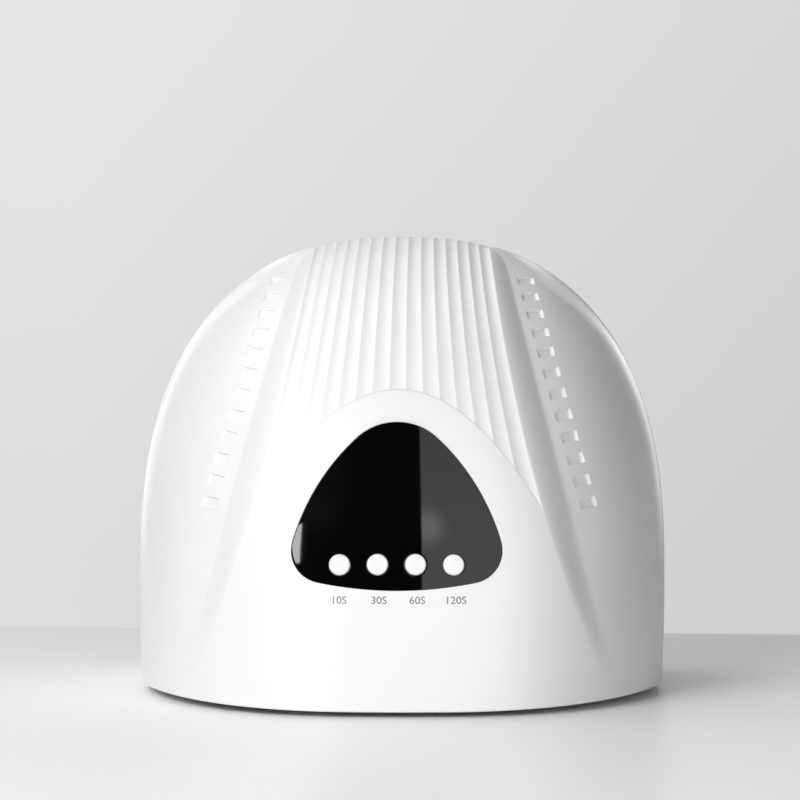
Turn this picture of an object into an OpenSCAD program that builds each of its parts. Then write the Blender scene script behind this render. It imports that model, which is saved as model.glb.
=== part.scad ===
// Domed LED nail lamp with a hand chamber at the back and a timer panel at the front.
// X runs to the right, Y to the back, Z up. The feet stand on Z = 0.

/* [Body] */
// Width of the shell at its widest line
body_w = 212; // [197:1:227]
// Height of the shell's top above the table
body_h = 183; // [175:1:195]
// Depth of the domed front, from the widest plane to the front edge
front_d = 100; // [92:1:108]
// Depth of the barrel behind the widest plane
barrel_d = 85; // [75:1:95]
// Height of the widest line above the table
waist_z = 52; // [46:1:58]
// Height of the shell's lower edge above the table
edge_z = 3; // [2:0.5:5]
// Wall thickness of the shell
shell_t = 3; // [2.5:0.1:3.5]
// How far the widest plane leans back for each millimetre of height
lean = 0.14; // [0.08:0.01:0.18]
// Squareness of the arched outline, where 2 is an ellipse
arch_power = 2.4; // [2.2:0.05:2.6]
// Share by which the barrel narrows towards the back
barrel_taper = 0.05; // [0.02:0.01:0.08]
// Radius of the rounded rear edge
rear_round = 5; // [4:0.5:6]

/* [Hood] */
// Half width of the raised hood at the top
hood_top = 34.8; // [32:0.2:38]
// How far the hood's edge moves outwards for each millimetre down
hood_flare = 0.12; // [0.09:0.01:0.15]
// Extra sweep of the hood's edge at the end of the arch
hood_sweep = 8.3; // [7:0.1:9.5]
// Height of the top of the arch above the display
arch_z = 123; // [118:1:128]
// Curvature of the arch, in drop for each square millimetre
arch_bend = 0.015; // [0.013:0.001:0.017]
// Number of flutes across the hood
flutes = 15; // [11:2:17]
// Depth of a flute
flute_depth = 0.5; // [0.3:0.1:1]
// How far the side panels lie behind the hood
panel_drop = 8; // [5:0.5:9]

/* [Vents] */
// Number of vent recesses on each side
vents = 12; // [8:1:12]
// Width of a vent recess
vent_w = 6.6; // [5:0.1:7.6]
// Height of a vent recess
vent_h = 3.9; // [3:0.1:4.4]
// Depth of a vent recess
vent_depth = 1.2; // [0.8:0.1:1.6]

/* [Display panel] */
// Height of the display window's centre above the table
window_z = 78; // [75:0.5:81]
// Half distance between the window's lower corners' centres
corner_x = 27.2; // [25.5:0.1:28.5]
// Radius of the window's lower corners
corner_r = 12.7; // [11.5:0.1:13.5]
// Drop of the lower corners' centres below the window's centre
corner_drop = 15; // [14:0.1:16]
// Radius of the window's top
apex_r = 22; // [20.5:0.1:23]
// Rise of the top's centre above the window's centre
apex_rise = 12; // [11:0.1:12.5]
// Radius of the window's two bowed sides
side_r = 90; // [84:1:98]
// Radius of the window's bowed lower edge
foot_r = 140; // [130:1:155]
// Thickness of the window
window_t = 3; // [2:0.1:3.5]
// Radius of the window's domed face
window_dome = 205; // [195:1:220]
// Backward tilt of the window and of what lies behind it
panel_tilt = 11; // [9:0.5:13]
// Diameter of a button cap
cap_d = 8; // [7:0.1:9]
// Distance between the centres of two buttons
cap_pitch = 14.4; // [13:0.1:15]
// Drop of the buttons below the window's centre
cap_drop = 20.8; // [19.6:0.1:21.4]
// How far a button cap stands out of the window
cap_proud = 0.9; // [0.7:0.1:1.5]
// Travel of a button
cap_travel = 0.5; // [0.3:0.05:0.6]
// Depth of the control board's front behind the window's face
board_back = 14; // [13:0.5:16]
// Thickness of the circuit boards
board_t = 1.6; // [1:0.1:2]
// Width of the control board
board_w = 68; // [64:1:72]
// Height of the control board
board_h = 50; // [46:1:52]

/* [Hand chamber] */
// Inside width of the hand chamber
chamber_w = 148; // [140:1:152]
// Inside height of the hand chamber above the base plate
chamber_h = 84; // [78:1:88]
// Radius of the chamber's two upper corners
chamber_r = 40; // [34:1:44]
// Depth of the chamber from the rear face
chamber_d = 134; // [126:1:138]
// Wall thickness of the chamber liner
liner_t = 1.5; // [1:0.1:2]
// Diameter of an LED lens
led_d = 5.4; // [4.5:0.1:6]
// Distance between LED rows, front to back
led_pitch = 24; // [20:1:25]

/* [Base] */
// Thickness of the base plate
base_t = 3; // [2.5:0.1:4]
// Width of the tray
tray_w = 136; // [128:1:138]
// Depth of the tray
tray_d = 126; // [118:1:128]
// Thickness of the tray
tray_t = 2.4; // [2:0.1:3]
// Diameter of a foot
foot_d = 14; // [10:1:16]
// Diameter of a screw head
screw_d = 6; // [5:0.1:7]
// Diameter of the power socket's barrel
jack_d = 8; // [7:0.1:9]

/* [Hidden] */
$fn = 64;

// Clearance between fixed pieces that fit into each other
fit_gap = 0.2;
// Clearance round a piece that slides
run_gap = 0.15;
half_w = body_w / 2;
rise = body_h - waist_z;
// Semi-axis below the waist, which makes the lower sides nearly upright
drop_axis = 208;
// Exponents of the domed front's profile, and the least values that keep its slope finite
dome_power = 3;
dome_root = 0.75;
share_floor = 0.02;
root_floor = 0.0005;
// Depth of the front at the lower edge, which centres the body front to back
edge_reach = front_d * pow(1 - pow((waist_z - edge_z) / drop_axis, dome_power), dome_root);
waist_y = (edge_reach - barrel_d) / 2;
back_y = waist_y + barrel_d;
white = "#f3f3f1";

// Outline of the body seen from the front, and the domed surface over it
function ring_share(x, z) =
    let (v = abs(z - waist_z) / (z > waist_z ? rise : drop_axis))
    pow(pow(abs(x) / half_w, arch_power) + pow(v, arch_power), 1 / arch_power);
function side_x(z) =
    let (v = abs(z - waist_z) / (z > waist_z ? rise : drop_axis))
    half_w * pow(max(0, 1 - pow(v, arch_power)), 1 / arch_power);
function ring_z(x, s) =
    waist_z + rise * pow(max(0, pow(s, arch_power) - pow(abs(x) / half_w, arch_power)), 1 / arch_power);
function waist_plane(z) = waist_y + lean * (z - edge_z);
function front_y(x, z) =
    let (s = min(1, ring_share(x, z)))
    waist_plane(z) - front_d * pow(1 - pow(s, dome_power), dome_root);
// Outward direction of the smooth front at one point
function front_normal(x, z) =
    let (
        s = max(share_floor, ring_share(x, z)),
        axis = z > waist_z ? rise : drop_axis,
        steep = front_d * dome_root * dome_power * s * s
            * pow(max(root_floor, 1 - pow(s, dome_power)), dome_root - 1),
        sx = sign(x) * pow(abs(x) / half_w, arch_power - 1) * pow(s, 1 - arch_power) / half_w,
        sz = sign(z - waist_z) * pow(abs(z - waist_z) / axis, arch_power - 1)
            * pow(s, 1 - arch_power) / axis,
        n = [steep * sx, -1, steep * sz + lean]
    )
    n / norm(n);

// Lines on the front: hood edge, foot of the slope beside it, vent row, arch over the display
top_gap = 5;
top_z = body_h - top_gap;
sweep_z = 0.415 * body_h;
hood_sweep_power = 2.2;
foot_off = 4;
foot_flare = 0.25;
foot_sweep = 4;
foot_sweep_power = 4;
row_off = 10.2;
row_flare = 0.262;
row_bend = 0.0001;
// Crisp outer edge of the scooped side, as a share of the half width; it moves in near the top
rim_share = 0.967;
rim_least = 0.12;
rim_bend_z = 0.601 * body_h;
rim_bend = 0.306 * body_h;
rim_inset = 0.143;
rim_bend_most = 1.15;
rim_bend_power = 3.1;
function rim_in(z) =
    rim_share
    - rim_inset * pow(min(rim_bend_most, max(0, z - rim_bend_z) / rim_bend), rim_bend_power);
function hood_x(z) =
    hood_top + hood_flare * (body_h - z)
    + hood_sweep * pow((body_h - z) / (body_h - sweep_z), hood_sweep_power);
function foot_x(z) =
    hood_top + foot_off + foot_flare * (body_h - z)
    + foot_sweep * pow((body_h - z) / body_h, foot_sweep_power);
function vent_x(z) = hood_top + row_off + row_flare * (body_h - z) + row_bend * pow(body_h - z, 2);
function arch_line(x) = arch_z - arch_bend * x * x;
// Height where the arch ends on the hood's edge, found by halving the error again and again
arch_steps = 24;
function arch_end(z, n) = n == 0 ? z : arch_end((z + arch_line(hood_x(z))) / 2, n - 1);
arch_end_z = arch_end(sweep_z, arch_steps);
top_share = ring_share(hood_x(top_z), top_z);

// Grid of the shell: rows run round the body, columns run up the front and over the top
flute_cols = 3;
hood_cols = flutes * flute_cols + 1;
face_rows = 6;
flute_rows = 10;
side_cols = 8;
barrel_cols = 6;
out_cols = side_cols + barrel_cols;
all_cols = hood_cols + 2 * out_cols;
all_rows = face_rows + flute_rows;
// Share of the fluted height taken by the little wall along the arch
step_share = 0.015;

function flute_share(q) = q == 0 ? 0 : step_share + (1 - step_share) * (q - 1) / (flute_rows - 1);
function edge_row_z(r) =
    r <= face_rows
    ? edge_z + (arch_end_z - edge_z) * r / face_rows
    : arch_end_z + (top_z - arch_end_z) * flute_share(r - face_rows);
function hood_row_z(r, x) =
    r <= face_rows
    ? edge_z + (arch_line(x) - edge_z) * r / face_rows
    : arch_line(x) + (ring_z(x, top_share) - arch_line(x)) * flute_share(r - face_rows);
// Flutes are a little wider in the middle, where the hood faces the front
flute_spread = 0.033;
function spread(t) = t + flute_spread * sin(180 * t);
// Place of a flute's line across the hood, which fans out with the hood's edge
flute_steps = 8;
function flute_x(r, t, x, n) =
    n == 0 ? x : flute_x(r, t, hood_x(hood_row_z(r, x)) * t, n - 1);
// Depth across one flute, zero on its two arrises
function flute_cut(i) =
    let (u = i % flute_cols / flute_cols)
    4 * flute_depth * u * (1 - u);

function hood_point(r, i, cut) =
    let (
        t = spread(2 * i / (hood_cols - 1) - 1),
        x = flute_x(r, t, hood_x(edge_row_z(r)) * t, flute_steps),
        z = hood_row_z(r, x),
        depth = r > face_rows ? cut * flute_cut(i) : 0
    )
    [x, front_y(x, z), z] - depth * front_normal(x, z);

// Places of the columns between the hood's edge and the widest line; near the top, where the side is
// narrow, the first three take at most these shares of it
foot_most = 0.30;
vent_in_most = 0.42;
vent_out_most = 0.66;
band_col = 0.7;
function col_x(z, e) =
    let (
        from = hood_x(z),
        w = side_x(z) - from,
        foot = min(foot_x(z) - from, foot_most * w),
        vent_in = min(vent_x(z) - vent_w / 2 - from, vent_in_most * w),
        vent_out = min(vent_x(z) + vent_w / 2 - from, vent_out_most * w),
        rim = max(vent_out + rim_least * (w - vent_out), side_x(z) * rim_in(z) - from)
    )
    from + (e == 1 ? foot / 2
        : e == 2 ? foot
        : e == 3 ? vent_in
        : e == 4 ? vent_out
        : e == 5 ? (vent_out + rim) / 2
        : e == 6 ? rim
        : e == 7 ? rim + band_col * (w - rim)
        : w);
function smooth(t) = let (c = min(1, max(0, t))) c * c * (3 - 2 * c);
// How far a column lies behind the smooth dome: nothing at the lower edge, the hood and the outline,
// and most at the rim, except near the top and low down, where the rim fades out
drop_rise = 70;
drop_from = 3;
drop_reach = 18;
shoulder_share = 0.35;
scoop_share = 0.22;
band_share = 0.47;
rim_extra = 0.55;
rim_top_z = 0.907 * body_h;
rim_foot_z = 35;
rim_fade_up = 20;
rim_fade_down = 50;
function rim_more(z) =
    rim_extra * smooth((rim_top_z - z) / rim_fade_up) * smooth((z - rim_foot_z) / rim_fade_down);
function col_drop(z, e) =
    panel_drop * smooth((z - edge_z) / drop_rise)
    * smooth((side_x(z) - hood_x(z) - drop_from) / drop_reach)
    * (e == 0 || e == side_cols ? 0
        : e == 1 ? shoulder_share
        : e == 7 ? band_share * (1 + rim_more(z))
        : e < 5 ? 1
        : e == 5 ? 1 + scoop_share * rim_more(z)
        : 1 + rim_more(z));
// The rear edge rounds inwards over the last stretch of the barrel, which has two columns
round_from = 1 - rear_round / barrel_d;
round_cols = 2;
flat_cols = barrel_cols - round_cols;
round_mid = 0.75;
function barrel_share(b) =
    b < flat_cols ? b / flat_cols
    : b == flat_cols ? round_from
    : b < barrel_cols ? round_from + round_mid * (1 - round_from)
    : 1;
function barrel_point(p, b) =
    let (
        t = barrel_share(b),
        u = max(0, t - round_from) / (1 - round_from),
        c = 1 - barrel_taper * t * t - rear_round / half_w * (1 - sqrt(max(0, 1 - u * u)))
    )
    [p[0] * c, p[1] + (back_y - p[1]) * t, edge_z + (p[2] - edge_z) * c];
function side_point(r, e, hand) =
    let (
        z = edge_row_z(r),
        x = e < side_cols ? col_x(z, e) : side_x(z)
    )
    e < side_cols
    ? [hand * x, front_y(x, z) + col_drop(z, e), z]
    : barrel_point([hand * x, waist_plane(z), z], e - side_cols);
function wall_point(r, c, cut) =
    c < out_cols ? side_point(r, out_cols - c, -1)
    : c >= out_cols + hood_cols ? side_point(r, c - out_cols - hood_cols + 1, 1)
    : hood_point(r, c - out_cols, cut);
// Top of the body, from the last row of the front back to the rear edge; the flutes fade out on the way
flute_end_share = 0.875;
flute_fade = 0.625;
function roof_point(m, i, cut) =
    let (
        t = spread(2 * i / (hood_cols - 1) - 1),
        at = m < side_cols ? col_x(top_z, m) : side_x(top_z),
        s = m < side_cols ? ring_share(at, top_z) : 1,
        x = at * t,
        z = ring_z(x, s),
        b = max(0, m - side_cols),
        depth = cut * flute_cut(i) * smooth((flute_end_share - barrel_share(b)) / flute_fade),
        p = [x, m < side_cols ? front_y(x, z) : waist_plane(z), z] - depth * front_normal(x, z)
    )
    b > 0 ? barrel_point(p, b) : p;

// All points of one skin: the wall rows, then the inner part of the roof
function skin(cut) = concat(
    [for (r = [0:all_rows]) for (c = [0:all_cols - 1]) wall_point(r, c, cut)],
    [for (m = [1:out_cols]) for (i = [1:hood_cols - 2]) roof_point(m, i, cut)]
);
wall_count = (all_rows + 1) * all_cols;
skin_count = wall_count + out_cols * (hood_cols - 2);
function wall_id(r, c) = r * all_cols + c;
function roof_id(m, i) =
    m == 0 ? wall_id(all_rows, out_cols + i)
    : i == 0 ? wall_id(all_rows, out_cols - m)
    : i == hood_cols - 1 ? wall_id(all_rows, out_cols + hood_cols - 1 + m)
    : wall_count + (m - 1) * (hood_cols - 2) + i - 1;
function quad(a, b, c, d) = [[a, b, c], [a, c, d]];
function skin_faces() = [
    for (r = [0:all_rows - 1]) for (c = [0:all_cols - 2])
        each quad(wall_id(r, c), wall_id(r + 1, c), wall_id(r + 1, c + 1), wall_id(r, c + 1)),
    for (m = [0:out_cols - 1]) for (i = [0:hood_cols - 2])
        each quad(roof_id(m, i), roof_id(m + 1, i), roof_id(m + 1, i + 1), roof_id(m, i + 1))
];
// Closed loop round the skin: lower edge, right rear edge, top rear edge, left rear edge
skin_loop = concat(
    [for (c = [0:all_cols - 1]) wall_id(0, c)],
    [for (r = [1:all_rows]) wall_id(r, all_cols - 1)],
    [for (i = [hood_cols - 2:-1:0]) roof_id(out_cols, i)],
    [for (r = [all_rows - 1:-1:1]) wall_id(r, 0)]
);
// The inner skin is the smooth outer skin drawn in by the wall
function drawn_in(p, t) = [
    p[0] * (half_w - t) / half_w,
    p[1] < waist_y ? waist_y + (p[1] - waist_y) * (front_d - t) / front_d : p[1],
    edge_z + (p[2] - edge_z) * (body_h - edge_z - t) / (body_h - edge_z)
];

module shell_form() {
    outer = skin(1);
    inner = [for (p = skin(0)) drawn_in(p, shell_t)];
    faces = skin_faces();
    n = len(skin_loop);
    polyhedron(
        points = concat(outer, inner),
        faces = concat(
            faces,
            [for (f = faces) [f[2] + skin_count, f[1] + skin_count, f[0] + skin_count]],
            [for (k = [0:n - 1])
                let (a = skin_loop[k], b = skin_loop[(k + 1) % n])
                each quad(a, b, b + skin_count, a + skin_count)]
        )
    );
}

// Frame of the display panel: its Z looks out of the window, its Y runs up the window
window_sink = 0.3;
face_y = front_y(0, window_z) + window_sink;
module on_panel() {
    translate([0, face_y, window_z]) rotate([90 - panel_tilt, 0, 0]) children();
}
// Depth of the window's domed face at one place of the panel
function dome_z(x, y) = sqrt(window_dome * window_dome - x * x - y * y) - window_dome;

// Outline of the window: top, right side, right corner, foot, left corner, left side
apex = [0, apex_rise];
corner = [corner_x, -corner_drop];
function reach(r1, c1, r2, c2, r, hand) =
    let (
        d = norm(c2 - c1),
        u = (c2 - c1) / d,
        a = ((r - r1) * (r - r1) - (r - r2) * (r - r2) + d * d) / (2 * d),
        k = sqrt((r - r1) * (r - r1) - a * a)
    )
    c1 + a * u + hand * k * [-u[1], u[0]];
side_c = reach(apex_r, apex, corner_r, corner, side_r, -1);
foot_c = [0, -corner_drop + sqrt(pow(foot_r - corner_r, 2) - corner_x * corner_x)];
function turn(from, to) = atan2(to[1] - from[1], to[0] - from[0]);
function arc(c, r, from, to, n) =
    [for (k = [0:n - 1]) c + r * [cos(from + (to - from) * k / n), sin(from + (to - from) * k / n)]];
arc_parts = 8;
foot_parts = 6;
function half_outline(grow) =
    let (
        a1 = turn(side_c, apex),
        a2 = turn(side_c, corner),
        a3 = turn(foot_c, corner)
    )
    concat(
        arc(apex, apex_r + grow, 90, a1, arc_parts),
        arc(side_c, side_r + grow, a1, a2, arc_parts),
        arc(corner, corner_r + grow, a2, a3, arc_parts),
        arc(foot_c, foot_r + grow, a3, -90, foot_parts)
    );
function outline(grow) =
    let (h = half_outline(grow), n = len(h))
    concat(h, [[0, foot_c[1] - foot_r - grow]], [for (k = [n - 1:-1:1]) [-h[k][0], h[k][1]]]);

// Places of the four buttons on the panel
caps = 4;
function cap_at(k) = [(k - (caps - 1) / 2) * cap_pitch, -cap_drop];
function cap_face(k) = dome_z(cap_at(k)[0], cap_at(k)[1]) + cap_proud;

// Vent recesses stand in a row that follows the foot of the slope beside the hood and crowd a little
// at the top, where the surface turns away; the lower ones rise outwards
vent_top_gap = 18.5;
vent_top_z = body_h - vent_top_gap;
vent_low_z = 0.43 * body_h;
vent_crowd = 0.086;
vent_crowd_power = 3.7;
vent_rise = 0.14;
vent_level_from = 0.5;
function vent_share(up) = (1 + vent_crowd) * up - vent_crowd * pow(up, vent_crowd_power);
module vent_cutter(k, hand) {
    up = k / (vents - 1);
    z = vent_low_z + (vent_top_z - vent_low_z) * vent_share(up);
    x = vent_x(z);
    n = front_normal(x, z);
    y = front_y(x, z) + col_drop(z, 4);
    tilt = asin(n[2]);
    swing = atan2(n[0], -n[1]);
    lean = vent_x(z - 1) - vent_x(z);
    tip = vent_rise * smooth((1 - up) / vent_level_from);
    corners = [for (c = [[-1, -1], [1, -1], [1, 1], [-1, 1]])
        [c[0] * vent_w - c[1] * vent_h * lean, c[1] * vent_h + c[0] * vent_w * tip] / 2];
    translate([hand * x, y, z])
        mirror([hand < 0 ? 1 : 0, 0, 0])
            rotate([0, 0, swing]) rotate([-tilt, 0, 0]) rotate([90, 0, 0])
                linear_extrude(2 * vent_depth, center = true) polygon(corners);
}

// Planes of the inside that several pieces share; a cutter runs past what it cuts by the overrun
over = 1;
base_top = edge_z + base_t;
bezel_back_y = back_y - rear_round;
bezel_t = 3;
bezel_front_y = bezel_back_y - bezel_t;
chamber_end_y = back_y - chamber_d;
roof_z = base_top + chamber_h;
liner_top = roof_z + liner_t;
liner_side = chamber_w / 2 + liner_t;

// Posts inside the shell that take the case screws
post_d = 9;
post_h = 24;
post_bore = 3;
post_sink = 0.8;
post_end = 7;
function inner_half(y) =
    let (p = barrel_point([side_x(edge_z), waist_plane(edge_z), edge_z], 0))
    p[0] * (half_w - shell_t) / half_w * (1 - barrel_taper * pow((y - waist_y) / barrel_d, 2));
post_front_in = 8;
post_rear_in = 24;
post_front_y = waist_y + post_front_in;
post_rear_y = back_y - post_rear_in;
post_rows = [post_front_y, post_rear_y];
post_places = [
    for (y = post_rows) for (hand = [-1, 1]) [hand * (inner_half(y) - post_d / 2 + post_sink), y]
];

module posts() {
    for (p = post_places)
        translate([p[0], p[1], base_top]) cylinder(d = post_d, h = post_h);
}

// The window's hole is cut from well inside the wall to well outside it, in wall thicknesses
hole_in = 3;
hole_out = 2;
module upper_shell() {
    color(white)
        difference() {
            union() {
                shell_form();
                posts();
            }
            on_panel()
                translate([0, 0, -hole_in * shell_t])
                    linear_extrude((hole_in + hole_out) * shell_t) polygon(outline(fit_gap));
            for (k = [0:vents - 1]) for (hand = [-1, 1]) vent_cutter(k, hand);
            for (p = post_places)
                translate([p[0], p[1], base_top - over])
                    cylinder(d = post_bore, h = post_h - post_end + over);
        }
}

// Arched section of the hand chamber, standing on its lower edge
module chamber_section(half, high, r) {
    translate([-half, 0]) square([2 * half, high - r]);
    translate([-half + r, 0]) square([2 * half - 2 * r, high]);
    for (hand = [-1, 1]) translate([hand * (half - r), high - r]) circle(r);
}
module upright(y_from, y_to) {
    translate([0, y_to, base_top]) rotate([90, 0, 0]) linear_extrude(y_to - y_from) children();
}

// Rear panel: closes the back round the mouth of the hand chamber, where the rear edge begins to round
bezel_col = side_cols + flat_cols;
jack_x = (liner_side + inner_half(bezel_back_y)) / 2;
jack_rise = 11;
jack_z = base_top + jack_rise;
jack_gap = 0.05;
lip_w = 2.5;
lip_proud = 2;
module rear_bezel() {
    rear = [
        for (r = [0:all_rows]) drawn_in(side_point(r, bezel_col, 1), shell_t + fit_gap)
    ];
    top = [
        for (i = [hood_cols - 2:-1:(hood_cols - 1) / 2])
            drawn_in(roof_point(bezel_col, i, 0), shell_t + fit_gap)
    ];
    half = [for (p = concat(rear, top)) if (p[2] > base_top) [p[0], p[2] - base_top]];
    n = len(half);
    color(white)
        difference() {
            union() {
                upright(bezel_front_y, bezel_back_y)
                    polygon(concat(
                        [[half[0][0], 0]], half,
                        [for (k = [n - 1:-1:0]) [-half[k][0], half[k][1]]], [[-half[0][0], 0]]
                    ));
                upright(bezel_back_y, bezel_back_y + lip_proud)
                    chamber_section(chamber_w / 2 + lip_w, chamber_h + lip_w, chamber_r + lip_w);
            }
            upright(bezel_front_y - over, bezel_back_y + lip_proud + over)
                translate([0, -over]) chamber_section(chamber_w / 2, chamber_h + over, chamber_r);
            translate([jack_x, bezel_back_y + over, jack_z])
                rotate([90, 0, 0]) cylinder(d = jack_d + 2 * jack_gap, h = bezel_t + 2 * over);
        }
}

// Base plate: carries the chamber, the posts, the tray's guides and the feet
screw_head_t = 2;
screw_in = 0.2;
screw_gap = 0.2;
foot_front_x = 58;
foot_front_share = 0.52;
foot_rear_x = 80;
foot_front = [foot_front_x, waist_y - foot_front_share * front_d];
foot_rear = [foot_rear_x, back_y - foot_d];
foot_places = [for (p = [foot_front, foot_rear]) for (hand = [-1, 1]) [hand * p[0], p[1]]];
magnet_d = 8;
magnet_t = 2;
magnet_gap = 0.05;
magnet_x = 40;
magnet_y = chamber_end_y + 2 * magnet_d;
magnet_places = [[-magnet_x, magnet_y], [magnet_x, magnet_y]];
guide_t = 2;
guide_proud = 1.2;
guide_h = tray_t + guide_proud;
guide_end = 6;
stop_w = 40;
tray_gap = 0.3;
tray_front_y = bezel_back_y - tray_d;
// The plate ends with the barrel's straight part, before the rear edge rounds
module base_outline() {
    rim = [
        for (c = [round_cols:all_cols - 1 - round_cols])
            drawn_in(wall_point(0, c, 0), shell_t + fit_gap)
    ];
    polygon([for (p = rim) [p[0], p[1]]]);
}
module base_plate() {
    color("#e4e4e1")
        difference() {
            union() {
                translate([0, 0, edge_z]) linear_extrude(base_t) base_outline();
                for (x = [-tray_w / 2 - tray_gap - guide_t, tray_w / 2 + tray_gap])
                    translate([x, tray_front_y, base_top]) cube([guide_t, tray_d - guide_end, guide_h]);
                translate([-stop_w / 2, tray_front_y - tray_gap - guide_t, base_top])
                    cube([stop_w, guide_t, guide_h]);
            }
            for (p = post_places) {
                translate([p[0], p[1], edge_z - over])
                    cylinder(d = post_bore + 2 * screw_gap, h = base_t + 2 * over);
                translate([p[0], p[1], edge_z - over])
                    cylinder(d = screw_d + 2 * screw_gap, h = screw_head_t + screw_in + over);
            }
            for (p = magnet_places)
                translate([p[0], p[1], base_top - magnet_t])
                    cylinder(d = magnet_d + 2 * magnet_gap, h = magnet_t + over);
        }
}

// Tray: the lamp's removable floor, drawn out through the mouth
tray_z = base_top + tray_gap;
tray_corner = 8;
tray_rim = 1.2;
tray_rim_w = 2;
keeper_t = 1;
notch_r = 14;
module tray_plan(inset) {
    r = tray_corner - inset;
    x = tray_w / 2 - tray_corner;
    translate([-tray_w / 2 + inset, tray_front_y + tray_corner])
        square([tray_w - 2 * inset, tray_d - tray_corner - inset]);
    translate([-x, tray_front_y + inset]) square([2 * x, tray_corner]);
    for (hand = [-1, 1]) translate([hand * x, tray_front_y + tray_corner]) circle(r);
}
module base_tray() {
    color("#e9e9e6")
        difference() {
            translate([0, 0, tray_z]) linear_extrude(tray_t + tray_rim) tray_plan(0);
            translate([0, 0, tray_z + tray_t]) linear_extrude(tray_rim + over) tray_plan(tray_rim_w);
            translate([0, bezel_back_y + notch_r / 2, tray_z - over])
                cylinder(r = notch_r, h = tray_t + tray_rim + 2 * over);
            for (p = magnet_places)
                translate([p[0], p[1], tray_z - over])
                    cylinder(d = magnet_d + 2 * magnet_gap, h = keeper_t + over);
        }
}
module tray_keepers() {
    color("silver")
        for (p = magnet_places) translate([p[0], p[1], tray_z]) cylinder(d = magnet_d, h = keeper_t);
}
module tray_magnets() {
    color("dimgray")
        for (p = magnet_places)
            translate([p[0], p[1], base_top - magnet_t]) cylinder(d = magnet_d, h = magnet_t);
}

// Pair of infrared eyes at the mouth, in a block on the liner
sensor_box = [16, 7, 5];
sensor_in = 3.8;
sensor_y = bezel_front_y - sensor_in;
sensor_x = 4;
sensor_d = 3.6;

// LEDs: three lines in the roof and one in each side wall; they start beside the sensor's block and
// run inwards, as many as the chamber's depth takes
led_board_end = 7;
led_board_edge = 6;
led_sensor_gap = 0.7;
led_start = 14.5;
led_last_y = sensor_y - sensor_box[1] / 2 - led_sensor_gap - led_board_end;
led_rows = 1 + floor((led_last_y - chamber_end_y - led_start) / led_pitch);
led_first_y = led_last_y - led_pitch * (led_rows - 1);
led_col_pitch = 22;
led_cols = [-led_col_pitch, 0, led_col_pitch];
led_side_rise = 28;
led_side_z = base_top + led_side_rise;
led_gap = 0.1;
led_hole = led_d + 2 * led_gap;
function led_y(k) = led_first_y + led_pitch * k;
module at_roof_leds() {
    for (x = led_cols) for (k = [0:led_rows - 1]) translate([x, led_y(k), roof_z]) children();
}
module at_side_leds() {
    for (hand = [-1, 1]) for (k = [0:led_rows - 1])
        translate([hand * chamber_w / 2, led_y(k), led_side_z]) rotate([0, hand * 90, 0]) children();
}
module chamber_liner() {
    color("#d9dadb")
        difference() {
            upright(chamber_end_y - liner_t, bezel_front_y)
                chamber_section(liner_side, chamber_h + liner_t, chamber_r + liner_t);
            upright(chamber_end_y, bezel_front_y + over)
                translate([0, -over]) chamber_section(chamber_w / 2, chamber_h + over, chamber_r);
            at_roof_leds() translate([0, 0, -over]) cylinder(d = led_hole, h = liner_t + 2 * over);
            at_side_leds() translate([0, 0, -over]) cylinder(d = led_hole, h = liner_t + 2 * over);
            for (hand = [-1, 1])
                translate([hand * sensor_x, sensor_y, roof_z - over])
                    cylinder(d = sensor_d + 2 * led_gap, h = liner_t + 2 * over);
        }
}
// Lens: a short barrel in the liner's hole with a domed end, which overlap by the seam
lens_proud = 1.8;
lens_seam = 0.01;
module led_lens() {
    cylinder(d = led_d, h = liner_t);
    intersection() {
        translate([0, 0, led_d / 2 - lens_proud]) sphere(d = led_d);
        translate([0, 0, -lens_proud]) cylinder(d = led_d, h = lens_proud + lens_seam);
    }
}
module led_lenses() {
    color("#c9c3dc") {
        at_roof_leds() led_lens();
        at_side_leds() led_lens();
    }
}
led_board_l = led_pitch * (led_rows - 1) + 2 * led_board_end;
led_board_w = 2 * led_col_pitch + 2 * led_board_edge;
led_board_side_h = 20;
module led_board_roof() {
    color("#eceff1")
        translate([-led_board_w / 2, led_first_y - led_board_end, liner_top])
            cube([led_board_w, led_board_l, board_t]);
}
module led_board_side(hand) {
    x = hand * (liner_side + board_t / 2) - board_t / 2;
    color("#eceff1")
        translate([x, led_first_y - led_board_end, led_side_z - led_board_side_h / 2])
            cube([board_t, led_board_l, led_board_side_h]);
}
module led_board_left() { led_board_side(-1); }
module led_board_right() { led_board_side(1); }

// The infrared eyes switch the lamp on when a hand goes in
module hand_sensor() {
    color("#26262a") {
        translate([-sensor_box[0] / 2, sensor_y - sensor_box[1] / 2, liner_top]) cube(sensor_box);
        for (hand = [-1, 1])
            translate([hand * sensor_x, sensor_y, roof_z + fit_gap]) cylinder(d = sensor_d, h = liner_t);
    }
}

// Driver board on four posts over the chamber
driver_w = 76;
driver_l = 56;
driver_y = 22;
driver_post_h = 12;
driver_z = liner_top + driver_post_h;
driver_post_d = 5;
driver_post_x = led_board_w / 2 + driver_post_d;
driver_post_y = 23;
module board_posts() {
    color("ivory")
        for (hand = [-1, 1]) for (end = [-1, 1])
            translate([hand * driver_post_x, driver_y + end * driver_post_y, liner_top])
                cylinder(d = driver_post_d, h = driver_post_h);
}
module driver_board() {
    color("#1f5c38")
        translate([-driver_w / 2, driver_y - driver_l / 2, driver_z]) cube([driver_w, driver_l, board_t]);
}
can_x = 24;
can_pitch = 14;
can_front = 12;
can_d = 10;
can_h = 15;
can_crimp = 1;
module driver_capacitors() {
    color("#20242c")
        for (y = [driver_y - can_front, driver_y - can_front + can_pitch])
            translate([can_x, y, driver_z + board_t]) {
                cylinder(d = can_d, h = can_h);
                translate([0, 0, can_h]) cylinder(d1 = can_d, d2 = can_d - can_crimp, h = can_crimp);
            }
}
coil_x = -18;
coil_r = 8;
winding_r = 4;
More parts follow.
